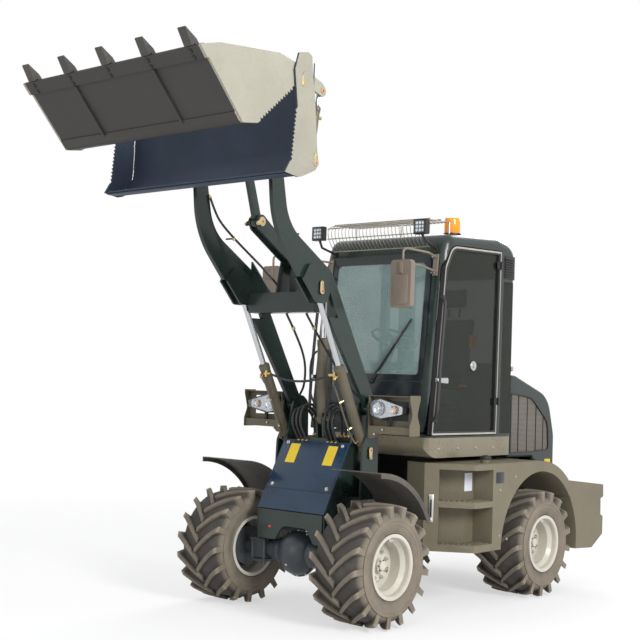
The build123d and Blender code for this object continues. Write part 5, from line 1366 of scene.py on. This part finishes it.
class LOADER_OT_steps(Operator):
    """Makes the treads, gauge, caps and rear lamps of the rear chassis"""

    bl_idname = "loader.steps"
    bl_label = "Steps and rear"

    def serrated(self, piece, a, b, inward, z, depth, teeth):
        """Row of raised teeth from a to b along a tread's edge."""
        a, b, inward = Vector(a), Vector(b), Vector(inward)
        for number in range(teeth):
            p0, p1 = (a + (b - a) * (number + share) / teeth for share in (0.14, 0.86))
            foot = [p0, p1, p1 + inward * depth, p0 + inward * depth]
            crown = scaled(foot, (p0 + p1) / 2, 0.6)
            piece.loft([[(x, y, z) for x, y in foot], [(x, y, z + 7) for x, y in crown]])

    def treads(self):
        slant = Vector(STEP_CORNER) - Vector(BOX_KINK)
        inward = Vector((slant.y, -slant.x)).normalized()

        def on_slant(share, back):
            """Point on the box's slanted side, seen from above, and back from it."""
            return tuple(Vector(BOX_KINK) + slant * share + inward * back)

        treads = Piece("step_treads", "chassis")
        for z in (449.0, 745.0):
            for back in (10, 62):
                self.serrated(treads, on_slant(0.06, back), on_slant(0.94, back), inward, z, 30, 6)
                self.serrated(treads, (-200, 776 - back), (-6, 776 - back), (0, -1), z, 30, 6)
        self.serrated(treads, (-560, 778), (-20, 778), (0, -1), 1004.8, 34, 16)
        treads.twin().done()
        lips = Piece("tread_edges", "chassis")
        strip = [on_slant(share, back) for share, back in ((0.06, 0), (0.92, 0), (0.92, -3), (0.06, -3))]
        for z in (424.0, 720.0):
            lips.prism("z", strip, z, z + 14, 0.8)
        lips.twin().done()

    def gauge(self):
        middle = Vector((165.0, 525.0))
        along = (Vector(BOX_NOSE) - Vector(STEP_CORNER)).normalized()
        out = Vector((-along.y, along.x))
        gauge, glass = Piece("level_gauge", "silver"), Piece("level_gauge_glass", "frit")
        for piece, half, low, high, depth in ((gauge, 17, 600, 790, 8), (glass, 6, 634, 756, 9.5)):
            near, far = middle - along * half, middle + along * half
            corners = (near, far, far + out * depth, near + out * depth)
            piece.prism("z", [tuple(corner) for corner in corners], low, high, 2)
        for z in (616, 774):
            gauge.stack((*middle, z), (*out, 0), (7, 14, 8, *NUT))
        gauge.twin().done()
        glass.twin().done()

    def execute(self, context):
        self.treads()
        self.gauge()
        plate = Piece("service_plate", "frit", slot="black_plastic")
        plate.block(-352, -248, 784.6, 786.5, 866, 944, 0.8).twin().done()
        label = Piece("plain_white_label", "white")
        label.block(-190, -96, 621.3, 622.2, 806, 932, 0.0).done()
        caps = Piece("tank_caps", "black")
        cap = [(30, 24), (40, 25), (41, 30), (40, 44), (36, 48), (0.5, 49)]
        for y in (690, -690):
            caps.lathe((-250, y, 1005), Z, cap, 28).block(-280, -220, y - 5, y + 5, 1050, 1060, 2)
        caps.done()
        bolts = Piece("box_bolts", "silver")
        for x, z in ((-300, 500), (-300, 820), (-500, 905), (-400, 470)):
            bolts.stack((x, 0, z), Y, (785, 788, 9, None, 18, 0.5), (787, 793, 6, *NUT))
        bolts.twin().done()
        lamps = Piece("tail_lamps", "tail")
        lamps.prism("x", pane(575, 668, 580, 660, 10), -1826, -1800, 4).twin().done()
        signals = Piece("rear_signals", "amber")
        signals.prism("x", pane(528, 570, 584, 656, 8), -1824, -1800, 4).twin().done()
        return {"FINISHED"}


class LOADER_OT_hood(Operator):
    """Makes the hood's grille trim, louvres, latches and plain label, and the exhaust tip"""

    bl_idname = "loader.hood"
    bl_label = "Hood"

    def execute(self, context):
        corners = (
            # x, z, radius
            (-880, 1050, 12), (-1180, 1050, 12), (-1450, 1060, 40), (-1430, 1280, 120), (-1180, 1470, 200),
            (-880, 1500, 30),
        )
        grille, centre = rounded(corners, 6), (-1167, 1235)
        edge = Piece("grille_edges", "black", "hood_lid")
        outer, inner = scaled(grille, centre, 1.018), scaled(grille, centre, 0.978)
        edge.border(lambda x, z, y: (x, y, z), outer, inner, 490, 503.5).twin().done()
        ribs = Piece("grille_ribs", "black", "hood_lid")
        heights = ((-1000, 1054, 1484), (-1130, 1054, 1468), (-1260, 1056, 1420), (-1370, 1058, 1330))
        for x, low, high in heights:
            ribs.block(x - 5, x + 5, 490, 496, low, high, 1.5)
        ribs.twin().done()
        Piece("hood_label", "yellow", "hood_lid").block(-1480, -1392, 499.6, 500.6, 900, 988, 0.0).done()
        latch = Piece("hood_latches", "black", "hood_lid")
        latch.prism("x", pane(-70, 70, 900, 960, 14), -1545, -1533, 4)
        latch.drum((-1545, 0, 930), (-1550, 0, 930), 15, 13, 24, 1.0)
        for side in (1, -1):
            latch.stack((-1246, 0, 980), (0, side, 0), (499, 506, 18, 16, 24, 1.5))
        latch.done()
        vents = Piece("rear_louvres", "black", "hood_lid")
        for z in evenly(1000, 26.0, 7):
            blade = ((-300, z), (300, z), (300, z + 5), (-300, z + 5))
            vents.loft([[(x, y, v - drop) for y, v in blade] for x, drop in ((-1534, 0), (-1545, 10))])
        vents.done()
        bore = [(22.5, -6), (24, 0), (24, 22), (22, 24), (20, 22), (20, 6), (0.5, 5)]
        Piece("exhaust_tip", "gold").lathe((-955, 430, 1690), (-1, 0, 0), bore, 28).done()
        return {"FINISHED"}


class LOADER_PT_panel(Panel):
    """Loader tools in the sidebar"""

    bl_label = "Wheel loader"
    bl_idname = "LOADER_PT_panel"
    bl_space_type = "VIEW_3D"
    bl_region_type = "UI"
    bl_category = "Loader"

    def draw(self, context):
        for name in LoaderLooks.__annotations__:
            self.layout.prop(context.scene.loader_looks, name)
        for operator in OPERATORS:
            self.layout.operator(operator.bl_idname)


OPERATORS = (
    LOADER_OT_finishes, LOADER_OT_stage, LOADER_OT_hoses, LOADER_OT_wheels, LOADER_OT_bucket,
    LOADER_OT_boom, LOADER_OT_pins, LOADER_OT_cylinders, LOADER_OT_tower, LOADER_OT_headlights,
    LOADER_OT_cab, LOADER_OT_inside, LOADER_OT_steps, LOADER_OT_hood,
)
CLASSES = (LoaderLooks, *OPERATORS, LOADER_PT_panel)


def register():
    for item in CLASSES:
        bpy.utils.register_class(item)
    bpy.types.Scene.loader_looks = PointerProperty(type=LoaderLooks)


def unregister():
    del bpy.types.Scene.loader_looks
    for item in reversed(CLASSES):
        bpy.utils.unregister_class(item)


def main():
    register()
    for operator in OPERATORS:
        group, action = operator.bl_idname.split(".")
        getattr(getattr(bpy.ops, group), action)()


if __name__ == "__main__":
    main()
